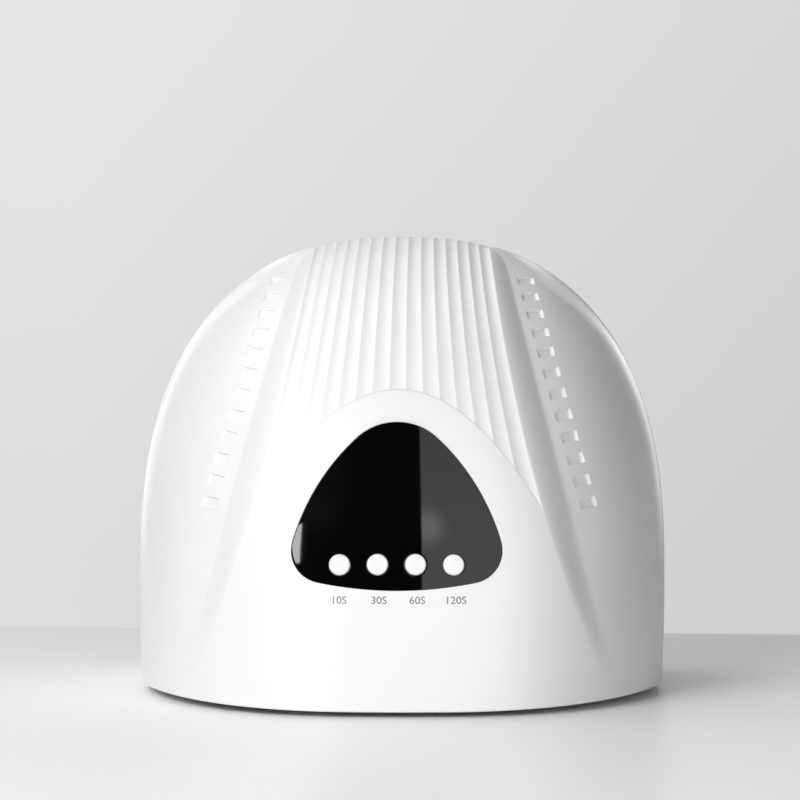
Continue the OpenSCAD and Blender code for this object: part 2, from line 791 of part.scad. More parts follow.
module driver_coil() {
    color("#b3702e")
        translate([coil_x, driver_y, driver_z + board_t + winding_r])
            rotate_extrude() translate([coil_r, 0]) circle(winding_r, $fn = 32);
}

// Display window: a domed plate with four bores, flush with the hood
module window_solid(grow, from, to) {
    intersection() {
        translate([0, 0, -window_t * 4]) linear_extrude(window_t * 5) polygon(outline(grow));
        difference() {
            translate([0, 0, -window_dome]) sphere(r = window_dome + to, $fn = 96);
            translate([0, 0, -window_dome]) sphere(r = window_dome + from, $fn = 96);
        }
    }
}
module display_window() {
    color("#0c0c0e")
        on_panel()
            difference() {
                window_solid(0, -window_t, 0);
                for (k = [0:caps - 1])
                    translate(concat(cap_at(k), -window_t * 3))
                        cylinder(d = cap_d + 2 * run_gap, h = window_t * 4);
            }
}

// Button: round cap with a collar behind the window, and the stem that presses the switch
collar_gap = 0.3;
collar_t = 1;
cap_edge = 0.5;
switch_t = 3.5;
stem_d = 3;
stem_reach = 1.2;
collar_w = 1;
collar_r = cap_d / 2 + collar_w;
// Lowest place of the window's back over one button's collar
function window_back(k) = dome_z(norm(cap_at(k)) + collar_r, 0) - window_t;
function cap_back(k) = window_back(k) - collar_gap - collar_t;
module button_cap(k) {
    back = cap_back(k);
    color(white)
        on_panel()
            translate(concat(cap_at(k), 0)) {
                translate([0, 0, back]) cylinder(d = cap_d, h = cap_face(k) - cap_edge - back);
                translate([0, 0, cap_face(k) - cap_edge])
                    cylinder(d1 = cap_d, d2 = cap_d - 2 * cap_edge, h = cap_edge);
                translate([0, 0, back]) cylinder(r = collar_r, h = collar_t);
            }
}
module button_stem(k) {
    from = -board_back + switch_t - stem_reach;
    color("#3a3a3e")
        on_panel() translate(concat(cap_at(k), from)) cylinder(d = stem_d, h = cap_back(k) - from);
}
module button_10s() { button_cap(0); }
module button_30s() { button_cap(1); }
module button_60s() { button_cap(2); }
module button_120s() { button_cap(3); }
module stem_10s() { button_stem(0); }
module stem_30s() { button_stem(1); }
module stem_60s() { button_stem(2); }
module stem_120s() { button_stem(3); }

// Tact switches on the control board, each open in front for its stem
switch_w = 6;
switch_play = 0.3;
module tact_switches() {
    color("#2b2b2f")
        on_panel()
            for (k = [0:caps - 1])
                translate(concat(cap_at(k), -board_back))
                    difference() {
                        linear_extrude(switch_t) square(switch_w, center = true);
                        translate([0, 0, switch_t - stem_reach - cap_travel - switch_play])
                            cylinder(d = stem_d + 2 * run_gap, h = switch_t);
                    }
}
board_edge = 9;
board_low = -cap_drop - board_edge;
module control_board() {
    color("#1f5c38")
        on_panel()
            translate([-board_w / 2, board_low, -board_back - board_t]) cube([board_w, board_h, board_t]);
}
// Three-digit display block, each digit a shallow recess in its face
digit_w = 12;
digit_h = 17;
digit_edge = 2;
digit_sink = 0.6;
display_t = 7;
display_rise = 2;
module display_module() {
    block_w = 3 * digit_w + 2 * digit_edge;
    block_h = digit_h + 2 * digit_edge;
    color("#18181b")
        on_panel()
            translate([0, display_rise, -board_back])
                difference() {
                    translate([-block_w / 2, -block_h / 2, 0]) cube([block_w, block_h, display_t]);
                    for (k = [-1:1])
                        translate([k * digit_w, 0, display_t])
                            cube([digit_w - digit_edge, digit_h, 2 * digit_sink], center = true);
                }
}

// Bracket that stands on the base plate and carries the control board
pillar_h = 3;
pillar_d = 5;
pillar_x = 22;
bracket_t = 2;
bracket_w = 56;
bracket_h = 34;
bracket_in = 2;
bracket_low = board_low + bracket_in;
leg_w = 8;
leg_t = 2.5;
leg_l = 14;
leg_sink = 1;
module panel_bracket() {
    back = -board_back - board_t - pillar_h;
    leg_y = face_y - (back - leg_sink) * cos(panel_tilt) + bracket_low * sin(panel_tilt);
    leg_h = window_z + bracket_low + leg_t - base_top;
    color("#c9cac8") {
        on_panel() {
            translate([-bracket_w / 2, bracket_low, back - bracket_t])
                cube([bracket_w, bracket_h, bracket_t]);
            for (x = [-pillar_x, pillar_x]) for (y = [pillar_d, bracket_h - pillar_d])
                translate([x, bracket_low + y, back - bracket_t / 2])
                    cylinder(d = pillar_d, h = pillar_h + bracket_t / 2);
        }
        for (x = [-pillar_x, pillar_x])
            translate([x - leg_w / 2, leg_y, base_top]) {
                cube([leg_w, leg_t, leg_h]);
                cube([leg_w, leg_l, leg_t]);
            }
    }
}

// Flat cable from the control board's back to the driver board
cable_w = 14;
cable_t = 0.8;
cable_rise = 15;
cable_steps = 14;
cable_on_board = 5;
cable_steep = 1.25;
module ribbon_cable() {
    back = board_back + board_t;
    start_y = face_y + back * cos(panel_tilt) + cable_rise * sin(panel_tilt) + fit_gap;
    start_z = window_z - back * sin(panel_tilt) + cable_rise * cos(panel_tilt);
    end_y = driver_y - driver_l / 2 + cable_on_board;
    end_z = driver_z + board_t;
    // Steep at the control board, level where it lies on the driver board
    low = [
        for (k = [0:cable_steps])
            let (t = k / cable_steps)
            [start_y + (end_y - start_y) * t, start_z + (end_z - start_z) * smooth(cable_steep * t)]
    ];
    color("#d8d8d4")
        translate([-cable_w / 2, 0, 0]) rotate([90, 0, 90]) linear_extrude(cable_w)
            polygon(concat(low, [for (k = [cable_steps:-1:0]) low[k] + [0, cable_t]]));
}

// Power socket: collar outside the rear panel, barrel through it, box behind it
jack_box = 11;
jack_box_l = 12;
jack_collar = 1.5;
jack_collar_t = 1;
jack_bore = 5.5;
jack_bore_l = 9;
jack_pin = 2;
module dc_jack() {
    color("#1b1b1d")
        translate([jack_x, bezel_back_y, jack_z])
            difference() {
                union() {
                    translate([0, jack_collar_t, 0])
                        rotate([90, 0, 0]) cylinder(d = jack_d + 2 * jack_collar, h = jack_collar_t);
                    rotate([90, 0, 0]) cylinder(d = jack_d, h = bezel_t);
                    translate([-jack_box / 2, -bezel_t - jack_box_l, -jack_box / 2])
                        cube([jack_box, jack_box_l, jack_box]);
                }
                translate([0, jack_collar_t + over, 0])
                    rotate([90, 0, 0])
                        difference() {
                            cylinder(d = jack_bore, h = jack_bore_l + jack_collar_t + over);
                            cylinder(d = jack_pin, h = jack_bore_l + jack_collar_t + 2 * over);
                        }
            }
}

// Four feet glued under the base plate
foot_edge = 0.5;
module rubber_feet() {
    color("#4a4a4c")
        for (p = foot_places)
            translate([p[0], p[1], 0]) {
                cylinder(d1 = foot_d - 2 * foot_edge, d2 = foot_d, h = foot_edge);
                translate([0, 0, foot_edge]) cylinder(d = foot_d, h = edge_z - foot_edge);
            }
}

// Cross-head screws that go up through the base plate into the posts
screw_l = 14;
screw_play = 0.05;
slot_l = 3.6;
slot_w = 0.8;
module case_screws() {
    color("silver")
        for (p = post_places)
            translate([p[0], p[1], edge_z + screw_in])
                difference() {
                    union() {
                        cylinder(d = screw_d, h = screw_head_t);
                        cylinder(d = post_bore - 2 * screw_play, h = screw_l);
                    }
                    for (turn = [0, 90])
                        rotate(turn) cube([slot_l, slot_w, 2 * slot_w], center = true);
                }
}

upper_shell();
rear_bezel();
base_plate();
base_tray();
chamber_liner();
display_window();
display_module();
control_board();
panel_bracket();
tact_switches();
button_10s();
button_30s();
button_60s();
button_120s();
stem_10s();
stem_30s();
stem_60s();
stem_120s();
led_board_roof();
led_board_left();
led_board_right();
led_lenses();
hand_sensor();
driver_board();
board_posts();
driver_capacitors();
driver_coil();
ribbon_cable();
dc_jack();
rubber_feet();
case_screws();
tray_magnets();
tray_keepers();
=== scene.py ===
import math

import bmesh
import bpy
import numpy as np
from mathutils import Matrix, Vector
from mathutils.geometry import delaunay_2d_cdt


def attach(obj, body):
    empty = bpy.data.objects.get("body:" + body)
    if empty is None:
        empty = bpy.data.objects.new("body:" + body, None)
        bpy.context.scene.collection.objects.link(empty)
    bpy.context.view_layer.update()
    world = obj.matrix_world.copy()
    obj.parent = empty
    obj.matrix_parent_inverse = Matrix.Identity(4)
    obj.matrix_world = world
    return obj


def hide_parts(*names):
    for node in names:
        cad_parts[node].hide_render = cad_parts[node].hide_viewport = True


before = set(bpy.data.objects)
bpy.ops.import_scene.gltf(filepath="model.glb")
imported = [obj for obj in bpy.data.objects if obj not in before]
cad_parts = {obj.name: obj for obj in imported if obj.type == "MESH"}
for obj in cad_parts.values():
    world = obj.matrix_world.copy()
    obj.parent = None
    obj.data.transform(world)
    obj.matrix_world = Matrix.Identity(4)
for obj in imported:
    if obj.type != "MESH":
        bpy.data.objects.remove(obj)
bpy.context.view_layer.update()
print("frame loaded")

mm = 0.001  # forms are worked out in millimetres and stored in metres
meetGap, shortEdge = 0.004, 0.0005  # in millimetres: nearer points are one, shorter edges go


def newPart():
    # an empty part, filled grid by grid
    return {"points": [], "quads": [], "tris": [], "count": 0}


def addPoints(part, points):
    # stores points of any layout and returns their numbers in the same layout
    flat = points.reshape(-1, 3)
    ids = part["count"] + np.arange(len(flat)).reshape(points.shape[:-1])
    part["points"].append(flat)
    part["count"] += len(flat)
    return ids


def addSheet(part, ids, keep=None):
    # four-sided faces between neighbouring rows and columns of a grid of point numbers
    quads = np.stack([ids[:-1, :-1], ids[:-1, 1:], ids[1:, 1:], ids[1:, :-1]], -1)
    part["quads"].append(quads.reshape(-1, 4) if keep is None else quads[keep])


def addRings(part, ids):
    # the same where each row is a closed ring
    addSheet(part, np.concatenate([ids, ids[:, :1]], 1))


def addZip(part, fine, coarse):
    # fans between a finely and a coarsely divided edge; a coarse point meets every n-th fine one
    n = (len(fine) - 1) // (len(coarse) - 1)
    k, j = np.arange(len(fine) - 1), np.arange(len(coarse) - 1)
    part["tris"].append(np.stack([coarse[k // n], fine[k], fine[k + 1]], -1))
    part["tris"].append(np.stack([coarse[j], fine[(j + 1) * n], coarse[j + 1]], -1))


def finishMesh(name, part, sharp, outwards=True):
    # makes the mesh: meeting points merged, faces outwards, edges over the angle kept sharp
    mesh = bpy.data.meshes.new(name)
    faces = [row for kind in ("quads", "tris") for rows in part[kind] for row in rows.tolist()]
    mesh.from_pydata((np.concatenate(part["points"]) * mm).tolist(), [], faces)
    work = bmesh.new()
    work.from_mesh(mesh)
    bmesh.ops.remove_doubles(work, verts=work.verts, dist=meetGap * mm)
    bmesh.ops.dissolve_degenerate(work, edges=work.edges, dist=shortEdge * mm)
    if outwards:
        bmesh.ops.recalc_face_normals(work, faces=work.faces)
    openEdges = sum(len(edge.link_faces) != 2 for edge in work.edges)
    work.to_mesh(mesh)
    work.free()
    mesh.polygons.foreach_set("use_smooth", np.ones(len(mesh.polygons), bool))
    mesh.set_sharp_from_angle(angle=math.radians(sharp))
    piece = bpy.data.objects.new(name, mesh)
    bpy.context.scene.collection.objects.link(piece)
    triangles = sum(len(face.vertices) - 2 for face in mesh.polygons)
    print(name, "triangles", triangles, "open edges", openEdges)
    return piece


# in millimetres as in the part's source; a pair is where a change starts and how far it runs,
# and a power is how late it comes
shellForm = {
    # outline, dome and barrel
    "halfWidth": 106.0, "height": 183.0, "waistZ": 52.0, "dropAxis": 208.0, "edgeZ": 3.0,
    "archPower": 2.4, "lean": 0.14, "frontDepth": 100.0, "barrelDepth": 85.0, "wall": 3.0,
    "domePower": 3.0, "domeRoot": 0.75, "taper": 0.05, "rearRound": 5.0, "edgeRound": 0.6,
    # drop of the lower edge in front
    "lipDrop": 0.9, "lipTop": (24.0, 20.0), "lipDeep": 60.0, "lipWide": (1.25, 80.0),
    # hood, arch and flutes
    "hoodTop": 34.8, "hoodFlare": 0.12, "hoodSweep": 8.3, "hoodPower": 2.2,
    "sweepZ": 0.415 * 183.0, "topZ": 178.0, "archZ": 123.0, "archBend": 0.015,
    "flutes": 15, "fluteDepth": 0.5, "fluteSink": 0.4, "sinkPower": 24, "arrisRound": 0.12,
    "fluteCrowd": 0.033, "fluteFade": (1.4, 1.6), "ringPower": 6, "settleRings": 12,
    # slope beside the hood
    "panelDrop": 8.0, "panelTall": 70.0, "panelWide": (3.0, 18.0), "footOff": 4.0,
    "footFlare": 0.25, "footSweep": 4.0, "footPower": 4, "footFillet": 0.12, "pastFoot": 1.6,
    "shoulderPower": 1.55, "keen": (45.0, 45.0), "shares": (0.30, 0.42, 0.66, 0.12),
    # scoop and its outer edge
    "rimShare": 0.967, "rimInset": 0.143, "rimBend": (110.0, 56.0), "rimMost": 1.15,
    "rimPower": 3.1, "rimDrop": 1.55, "scoopPower": 2.2, "bandPower": 1.8,
    "creaseTop": (166.0, 20.0), "creaseFoot": (35.0, 50.0),
    # vents
    "vents": 12, "ventWidth": 6.6, "ventShare": 0.683, "ventDepth": 0.95, "ventTopZ": 164.5,
    "ventLowZ": 78.7, "ventCrowd": 0.086, "crowdPower": 3.7, "ventMargin": 0.5,
    "rowOff": 10.2, "rowFlare": 0.262, "rowBend": 0.0001, "ventRise": 0.14,
    "riseFoot": (66.0, 8.0), "riseIn": 1.6, "riseOut": (4.7, 1.5),
    # rows and columns of the mesh
    "footRows": [0, 0.04, 0.15, 0.4, 1.0, 1.8, 3.0], "evenFrom": 2.5, "evenRows": 34,
    "rowsPerVent": 6, "blockRows": 4, "blockColumns": 5, "closingRows": 20,
    "closingStep": 1 - 0.95 ** 1.7, "footSteps": 60, "skip": 3,
}
sf = shellForm
halfWidth, height, waistZ, edgeZ = [sf[key] for key in ("halfWidth", "height", "waistZ", "edgeZ")]
rise = height - waistZ
lowShare = (waistZ - edgeZ) / sf["dropAxis"]
edgeReach = sf["frontDepth"] * (1 - lowShare ** sf["domePower"]) ** sf["domeRoot"]
waistY = (edgeReach - sf["barrelDepth"]) / 2  # the depth is centred on the frame
backY = waistY + sf["barrelDepth"]
rearStart = 1 - sf["rearRound"] / sf["barrelDepth"]  # where the barrel starts to turn in


def smooth(t):
    # 0 up to 0, 1 from 1 on, and three t squared less two t cubed between
    t = np.clip(t, 0, 1)
    return t * t * (3 - 2 * t)


def unit(v):
    # the same direction, one long
    return v / np.linalg.norm(v, axis=-1, keepdims=True)


def upShare(z):
    # height from the widest line as a share of the arch's axis above or below it
    return np.abs(z - waistZ) / np.where(z > waistZ, rise, sf["dropAxis"])


def ringShare(x, z):
    # 0 in the middle of the front and 1 on the outline, a superellipse
    p = sf["archPower"]
    return ((np.abs(x) / halfWidth) ** p + upShare(z) ** p) ** (1 / p)


def sideX(z):
    # half width of the outline at a height, the superellipse solved for x
    p = sf["archPower"]
    return halfWidth * np.maximum(0, 1 - upShare(z) ** p) ** (1 / p)


def ringZ(x, share):
    # height of a ring over a place across, the superellipse solved for z
    p = sf["archPower"]
    left = share ** p - (np.abs(x) / halfWidth) ** p
    return waistZ + rise * np.maximum(0, left) ** (1 / p)


def waistPlane(z):
    # the plane through the widest line, which leans back as it rises
    return waistY + sf["lean"] * (z - edgeZ)


def frontY(x, z):
    # the dome: the leaning plane less the depth times (1 - share cubed) to the power 0.75
    s = np.minimum(1, ringShare(x, z))
    return waistPlane(z) - sf["frontDepth"] * (1 - s ** sf["domePower"]) ** sf["domeRoot"]


def frontNormal(x, z):
    # outward direction of the dome, from its slope in x and z
    p, s = sf["archPower"], np.maximum(0.02, ringShare(x, z))
    axis = np.where(z > waistZ, rise, sf["dropAxis"])
    steep = (sf["frontDepth"] * sf["domeRoot"] * sf["domePower"] * s * s
             * np.maximum(0.0005, 1 - s ** sf["domePower"]) ** (sf["domeRoot"] - 1))
    sx = np.sign(x) * (np.abs(x) / halfWidth) ** (p - 1) * s ** (1 - p) / halfWidth
    sz = np.sign(z - waistZ) * upShare(z) ** (p - 1) * s ** (1 - p) / axis
    return unit(np.stack([steep * sx, -np.ones_like(steep * sx), steep * sz + sf["lean"]], -1))


def onDome(x, z):
    # the dome's point at a place across and a height
    return np.stack([x, frontY(x, z), z], -1)


def hoodX(z):
    # edge of the hood: straight flare plus a sweep that grows downwards
    drop = height - z
    sweep = sf["hoodSweep"] * (drop / (height - sf["sweepZ"])) ** sf["hoodPower"]
    return sf["hoodTop"] + sf["hoodFlare"] * drop + sweep


def footX(z):
    # foot of the slope beside the hood, made in the same way
    drop = height - z
    sweep = sf["footSweep"] * (drop / height) ** sf["footPower"]
    return sf["hoodTop"] + sf["footOff"] + sf["footFlare"] * drop + sweep


def ventX(z):
    # middle of the row of vents: a straight flare with a little of the drop squared
    drop = height - z
    return sf["hoodTop"] + sf["rowOff"] + sf["rowFlare"] * drop + sf["rowBend"] * drop ** 2


def ventZ(k):
    # heights of the vents, counted from the lowest: even steps that crowd a little at the top
    up = k / (sf["vents"] - 1)
    c = sf["ventCrowd"]
    share = (1 + c) * up - c * np.maximum(0, up) ** sf["crowdPower"]
    return sf["ventLowZ"] + (sf["ventTopZ"] - sf["ventLowZ"]) * share


def archLine(x):
    # the arch over the display, a parabola
    return sf["archZ"] - sf["archBend"] * x * x


def rimIn(z):
    # the scoop's outer edge as a share of the half width; it leaves the outline towards the top
    start, span = sf["rimBend"]
    bend = np.clip((z - start) / span, 0, sf["rimMost"])
    return sf["rimShare"] - sf["rimInset"] * bend ** sf["rimPower"]


def sideBreaks(z):
    # places across, at one height: hood edge, foot, vent band's two edges, scoop's edge, outline;
    # towards the top, where the panel narrows, they keep to shares of its width
    hood, side = hoodX(z), sideX(z)
    w = side - hood
    half = sf["ventWidth"] / 2 + sf["ventMargin"]
    footMost, inMost, outMost, rimLeast = sf["shares"]
    foot = hood + np.minimum(footX(z) - hood, footMost * w)
    ventIn = hood + np.minimum(ventX(z) - half - hood, inMost * w)
    ventOut = hood + np.minimum(ventX(z) + half - hood, outMost * w)
    rim = np.maximum(ventOut + rimLeast * (side - ventOut), rimIn(z) * side)
    return np.stack([hood, foot, ventIn, ventOut, rim, side], -1)


def across(breaks, e):
    # straight steps between the breaks, so that e = 2.5 is halfway from the third to the fourth
    shape = np.broadcast_shapes(np.shape(e), breaks.shape[:-1])
    e, breaks = np.broadcast_to(e, shape), np.broadcast_to(breaks, shape + (6,))
    low = np.clip(np.floor(e).astype(int), 0, 4)
    at = np.take_along_axis(breaks, low[..., None], -1)[..., 0]
    to = np.take_along_axis(breaks, low[..., None] + 1, -1)[..., 0]
    return at + (e - low) * (to - at)


def sideDrop(z, e):
    # how far the side panel lies behind the dome: a rounded shoulder at the hood's edge, steepest
    # at the foot, which is a small fillet, level along the vents, deepest at the scoop's edge, and
    # nothing on the outline; low down the slope is a plain smooth step
    breaks = sideBreaks(z)
    t = (across(breaks, e) - breaks[..., 0]) / (breaks[..., 1] - breaks[..., 0])
    t = np.minimum(t, sf["pastFoot"])
    keen = smooth((z - sf["keen"][0]) / sf["keen"][1])
    shoulder, fillet = np.maximum(t, 0) ** sf["shoulderPower"], sf["footFillet"]
    lower = lambda a: (a + 1 - np.sqrt((a - 1) ** 2 + fillet ** 2)) / 2  # rounded lesser of a and 1
    crisp = (lower(shoulder) - lower(0)) / (1 - lower(0))
    profile = crisp * keen + smooth(t) * (1 - keen)
    scoop = np.clip(e - 3, 0, 1)
    crease = (smooth((sf["creaseTop"][0] - z) / sf["creaseTop"][1])
              * smooth((z - sf["creaseFoot"][0]) / sf["creaseFoot"][1]))
    profile = profile + (sf["rimDrop"] - 1) * crease * scoop ** sf["scoopPower"]
    band = np.clip(e - 4, 0, 1)
    profile = profile * (1 - band ** sf["bandPower"])
    least, span = sf["panelWide"]
    depth = (sf["panelDrop"] * smooth((z - edgeZ) / sf["panelTall"])
             * smooth((sideX(z) - hoodX(z) - least) / span))
    return depth * profile


def edgeInset(z):
    # the lower edge is rounded: a quarter circle over the last stretch
    r = sf["edgeRound"]
    u = np.clip((edgeZ + r - z) / r, 0, 1)
    return r * (1 - np.sqrt(1 - u * u))


def sidePoint(zRow, e):
    # a point of the side panel: rows rise outwards through the vent band, less towards the top
    x = across(sideBreaks(zRow), e)
    up = (zRow - sf["ventLowZ"]) / (sf["ventTopZ"] - sf["ventLowZ"])
    slant = (sf["ventRise"] * smooth((zRow - sf["riseFoot"][0]) / sf["riseFoot"][1])
             * smooth(2 * (1 - up)))
    outwards = smooth(e / sf["riseIn"]) * smooth((sf["riseOut"][0] - e) / sf["riseOut"][1])
    z = zRow + slant * (x - ventX(zRow)) * outwards
    x = across(sideBreaks(z), e)
    point = np.stack([x, frontY(x, z) + sideDrop(z, e), z], -1)
    return point - edgeInset(z)[..., None] * frontNormal(x, z)


def barrelPoint(p, t):
    # the outline carried straight back, narrowed by the taper and turned in round the rear edge
    u = np.maximum(0, t - rearStart) / (1 - rearStart)
    turnedIn = sf["rearRound"] / halfWidth * (1 - np.sqrt(np.maximum(0, 1 - u * u)))
    c = 1 - sf["taper"] * t * t - turnedIn
    return np.stack([p[..., 0] * c, p[..., 1] + (backY - p[..., 1]) * t,
                     edgeZ + (p[..., 2] - edgeZ) * c], -1)


def drawnIn(p):
    # the inner skin: the outer one scaled by the wall about the waist plane and the lower edge
    wall, body = sf["wall"], height - edgeZ
    x = p[..., 0] * (halfWidth - wall) / halfWidth
    reach = (p[..., 1] - waistY) * (sf["frontDepth"] - wall) / sf["frontDepth"]
    y = np.where(p[..., 1] < waistY, waistY + reach, p[..., 1])
    return np.stack([x, y, edgeZ + (p[..., 2] - edgeZ) * (body - wall) / body], -1)


# the window's forms, in the display panel's frame; the last row is its mesh
windowForm = {
    "centreZ": 78.0, "sink": 0.3, "tilt": 11.0, "dome": 205.0, "thick": 3.0, "gap": 0.2,
    "apexR": 22.0, "apexUp": 12.0, "cornerR": 12.7, "cornerX": 27.2, "cornerDown": 15.0,
    "sideR": 90.0, "footR": 140.0, "middle": -4.0, "bevel": 0.45, "boreRound": 0.15,
    "capD": 8.0, "capPitch": 14.4, "capDown": 20.8, "capProud": 0.9, "capPlay": 0.15,
    "outlineSteps": 280, "boreSteps": 64, "netStep": 1.3, "netBack": 2.4, "boreLoops": (0.15, 0.5),
}
wf = windowForm
tilt = math.radians(wf["tilt"])
panelY = float(frontY(np.array(0.0), np.array(wf["centreZ"]))) + wf["sink"]
panelOrigin = np.array([0, panelY, wf["centreZ"]])
panelAxes = np.array([
    [1, 0, 0], [0, math.sin(tilt), math.cos(tilt)], [0, -math.cos(tilt), math.sin(tilt)]])
capPlaces = np.array([[(k - 1.5) * wf["capPitch"], -wf["capDown"]] for k in range(4)])


def onPanel(p):
    # from the panel's own frame, whose third axis looks out of the window, to the lamp's
    return panelOrigin + p @ panelAxes


def domeZ(x, y):
    # the window's face is part of a sphere
    return np.sqrt(wf["dome"] ** 2 - x * x - y * y) - wf["dome"]


def windowOutline():
    # half of the outline as four arcs that run into each other, then its mirror image, as angle
    # and radius about a point inside
    apex = np.array([0, wf["apexUp"]])
    corner = np.array([wf["cornerX"], -wf["cornerDown"]])
    link = corner - apex
    d = np.linalg.norm(link)
    u = link / d
    r1, r2 = wf["sideR"] - wf["apexR"], wf["sideR"] - wf["cornerR"]
    a = (r1 * r1 - r2 * r2 + d * d) / (2 * d)
    side = apex + a * u - math.sqrt(r1 * r1 - a * a) * np.array([-u[1], u[0]])
    footUp = math.sqrt((wf["footR"] - wf["cornerR"]) ** 2 - wf["cornerX"] ** 2)
    foot = np.array([0, footUp - wf["cornerDown"]])
    turn = lambda a, b: math.atan2(b[1] - a[1], b[0] - a[0])
    a1, a2, a3 = turn(side, apex), turn(side, corner), turn(foot, corner)
    arcs = [(apex, wf["apexR"], math.pi / 2, a1), (side, wf["sideR"], a1, a2),
            (corner, wf["cornerR"], a2, a3), (foot, wf["footR"], a3, -math.pi / 2)]
    half = np.concatenate([c + r * np.stack([np.cos(t), np.sin(t)], -1)
                           for c, r, start, end in arcs for t in [np.linspace(start, end, 200)]])
    both = np.concatenate([half, half * [-1, 1]])
    angle = np.arctan2(both[:, 1] - wf["middle"], both[:, 0])
    order = np.argsort(angle)
    return angle[order], np.hypot(both[:, 0], both[:, 1] - wf["middle"])[order]


outlineAngle, outlineRadius = windowOutline()


def outlineReach(angle):
    # radius of the outline in a direction
    return np.interp(angle, outlineAngle, outlineRadius, period=2 * np.pi)


def outlineAt(angle, grow=0.0):
    # a point of the outline in a direction, moved outwards at a right angle to it
    step = 0.004
    at = lambda a: (outlineReach(a)[..., None] * np.stack([np.cos(a), np.sin(a)], -1)
                    + [0, wf["middle"]])
    along = unit(at(angle + step) - at(angle - step))
    return at(angle) + grow * np.stack([along[..., 1], -along[..., 0]], -1)


def padded(values, every):
    # adds a middle value to the widest steps until the count of steps divides evenly
    values = np.sort(values)
    while (len(values) - 1) % every:
        k = np.argmax(np.diff(values))
        values = np.insert(values, k + 1, (values[k] + values[k + 1]) / 2)
    return values


def rowHeights():
    # heights at the hood's edge, below the arch and above it: close round the lower edge, even up
    # to the arch, six to a vent, even up to the top; the counts divide by skip for the inner skin
    skip, perVent = sf["skip"], sf["rowsPerVent"]
    archEnd = sf["sweepZ"]
    for _ in range(60):  # half steps settle where the arch meets the hood's edge
        archEnd = (archEnd + archLine(hoodX(archEnd))) / 2
    rounding = edgeZ + sf["edgeRound"] * np.array(sf["footRows"])
    even = np.linspace(edgeZ + sf["evenFrom"], archEnd, sf["evenRows"])
    vents = ventZ(np.arange(-2, (sf["vents"] - 1) * perVent + 3) / perVent)
    count = sf["closingRows"] + -(len(vents) + sf["closingRows"]) % skip
    first = vents[-1] + (sf["topZ"] - vents[-1]) * sf["closingStep"]
    above = np.concatenate([[archEnd], vents, np.linspace(first, sf["topZ"], count)])
    return padded(np.concatenate([rounding, even]), skip), above


def shellColumns():
    # columns from the hood's edge to the outline, counted in breaks, and steps along the barrel as
    # shares of its depth, close together where the surface turns
    columns = np.concatenate([
        [0, 0.03, 0.08, 0.15, 0.24, 0.34, 0.45, 0.56, 0.67, 0.78, 0.88, 0.95, 0.985],
        [1, 1.03, 1.12, 1.3, 1.55, 1.8], np.linspace(2, 3, sf["blockColumns"] + 1),
        [3.05, 3.14, 3.25, 3.37, 3.5, 3.62, 3.73, 3.83, 3.91, 3.96, 3.985],
        [4, 4.03, 4.08, 4.16, 4.26, 4.38, 4.5, 4.62, 4.73, 4.83, 4.91, 4.96, 4.985, 5],
    ])
    turned = rearStart + (1 - rearStart) * np.sin(np.linspace(0, np.pi / 2, 7))
    barrel = np.concatenate([[0.01, 0.03, 0.06], np.linspace(0.1, rearStart, 16), turned[1:]])
    while (len(columns) + len(barrel) - 1) % sf["skip"]:
        barrel = np.insert(barrel, 3, (barrel[2] + barrel[3]) / 2)
    return columns, barrel


def fluteProfile():
    # places across the hood from -1 to 1, the same crowded a little to the sides, and the cut
    # there: each flute is a parabola with rounded arrises, and all lie a little below the edge
    steps = np.array([0, 0.025, 0.08, 0.18, 0.3, 0.42, 0.54, 0.66, 0.78, 0.88, 0.95, 0.982])
    u = np.tile(steps, sf["flutes"])
    t = (np.repeat(np.arange(sf["flutes"]), len(steps)) + u) / sf["flutes"]
    t, u = np.append(t, 1) * 2 - 1, np.append(u, 0)
    arris = sf["arrisRound"]
    hollow = np.sqrt((4 * u * (1 - u)) ** 2 + arris ** 2) - arris
    cut = sf["fluteDepth"] * hollow + sf["fluteSink"] * (1 - np.abs(t) ** sf["sinkPower"])
    return t, t + sf["fluteCrowd"] * np.sin(np.pi * t), cut


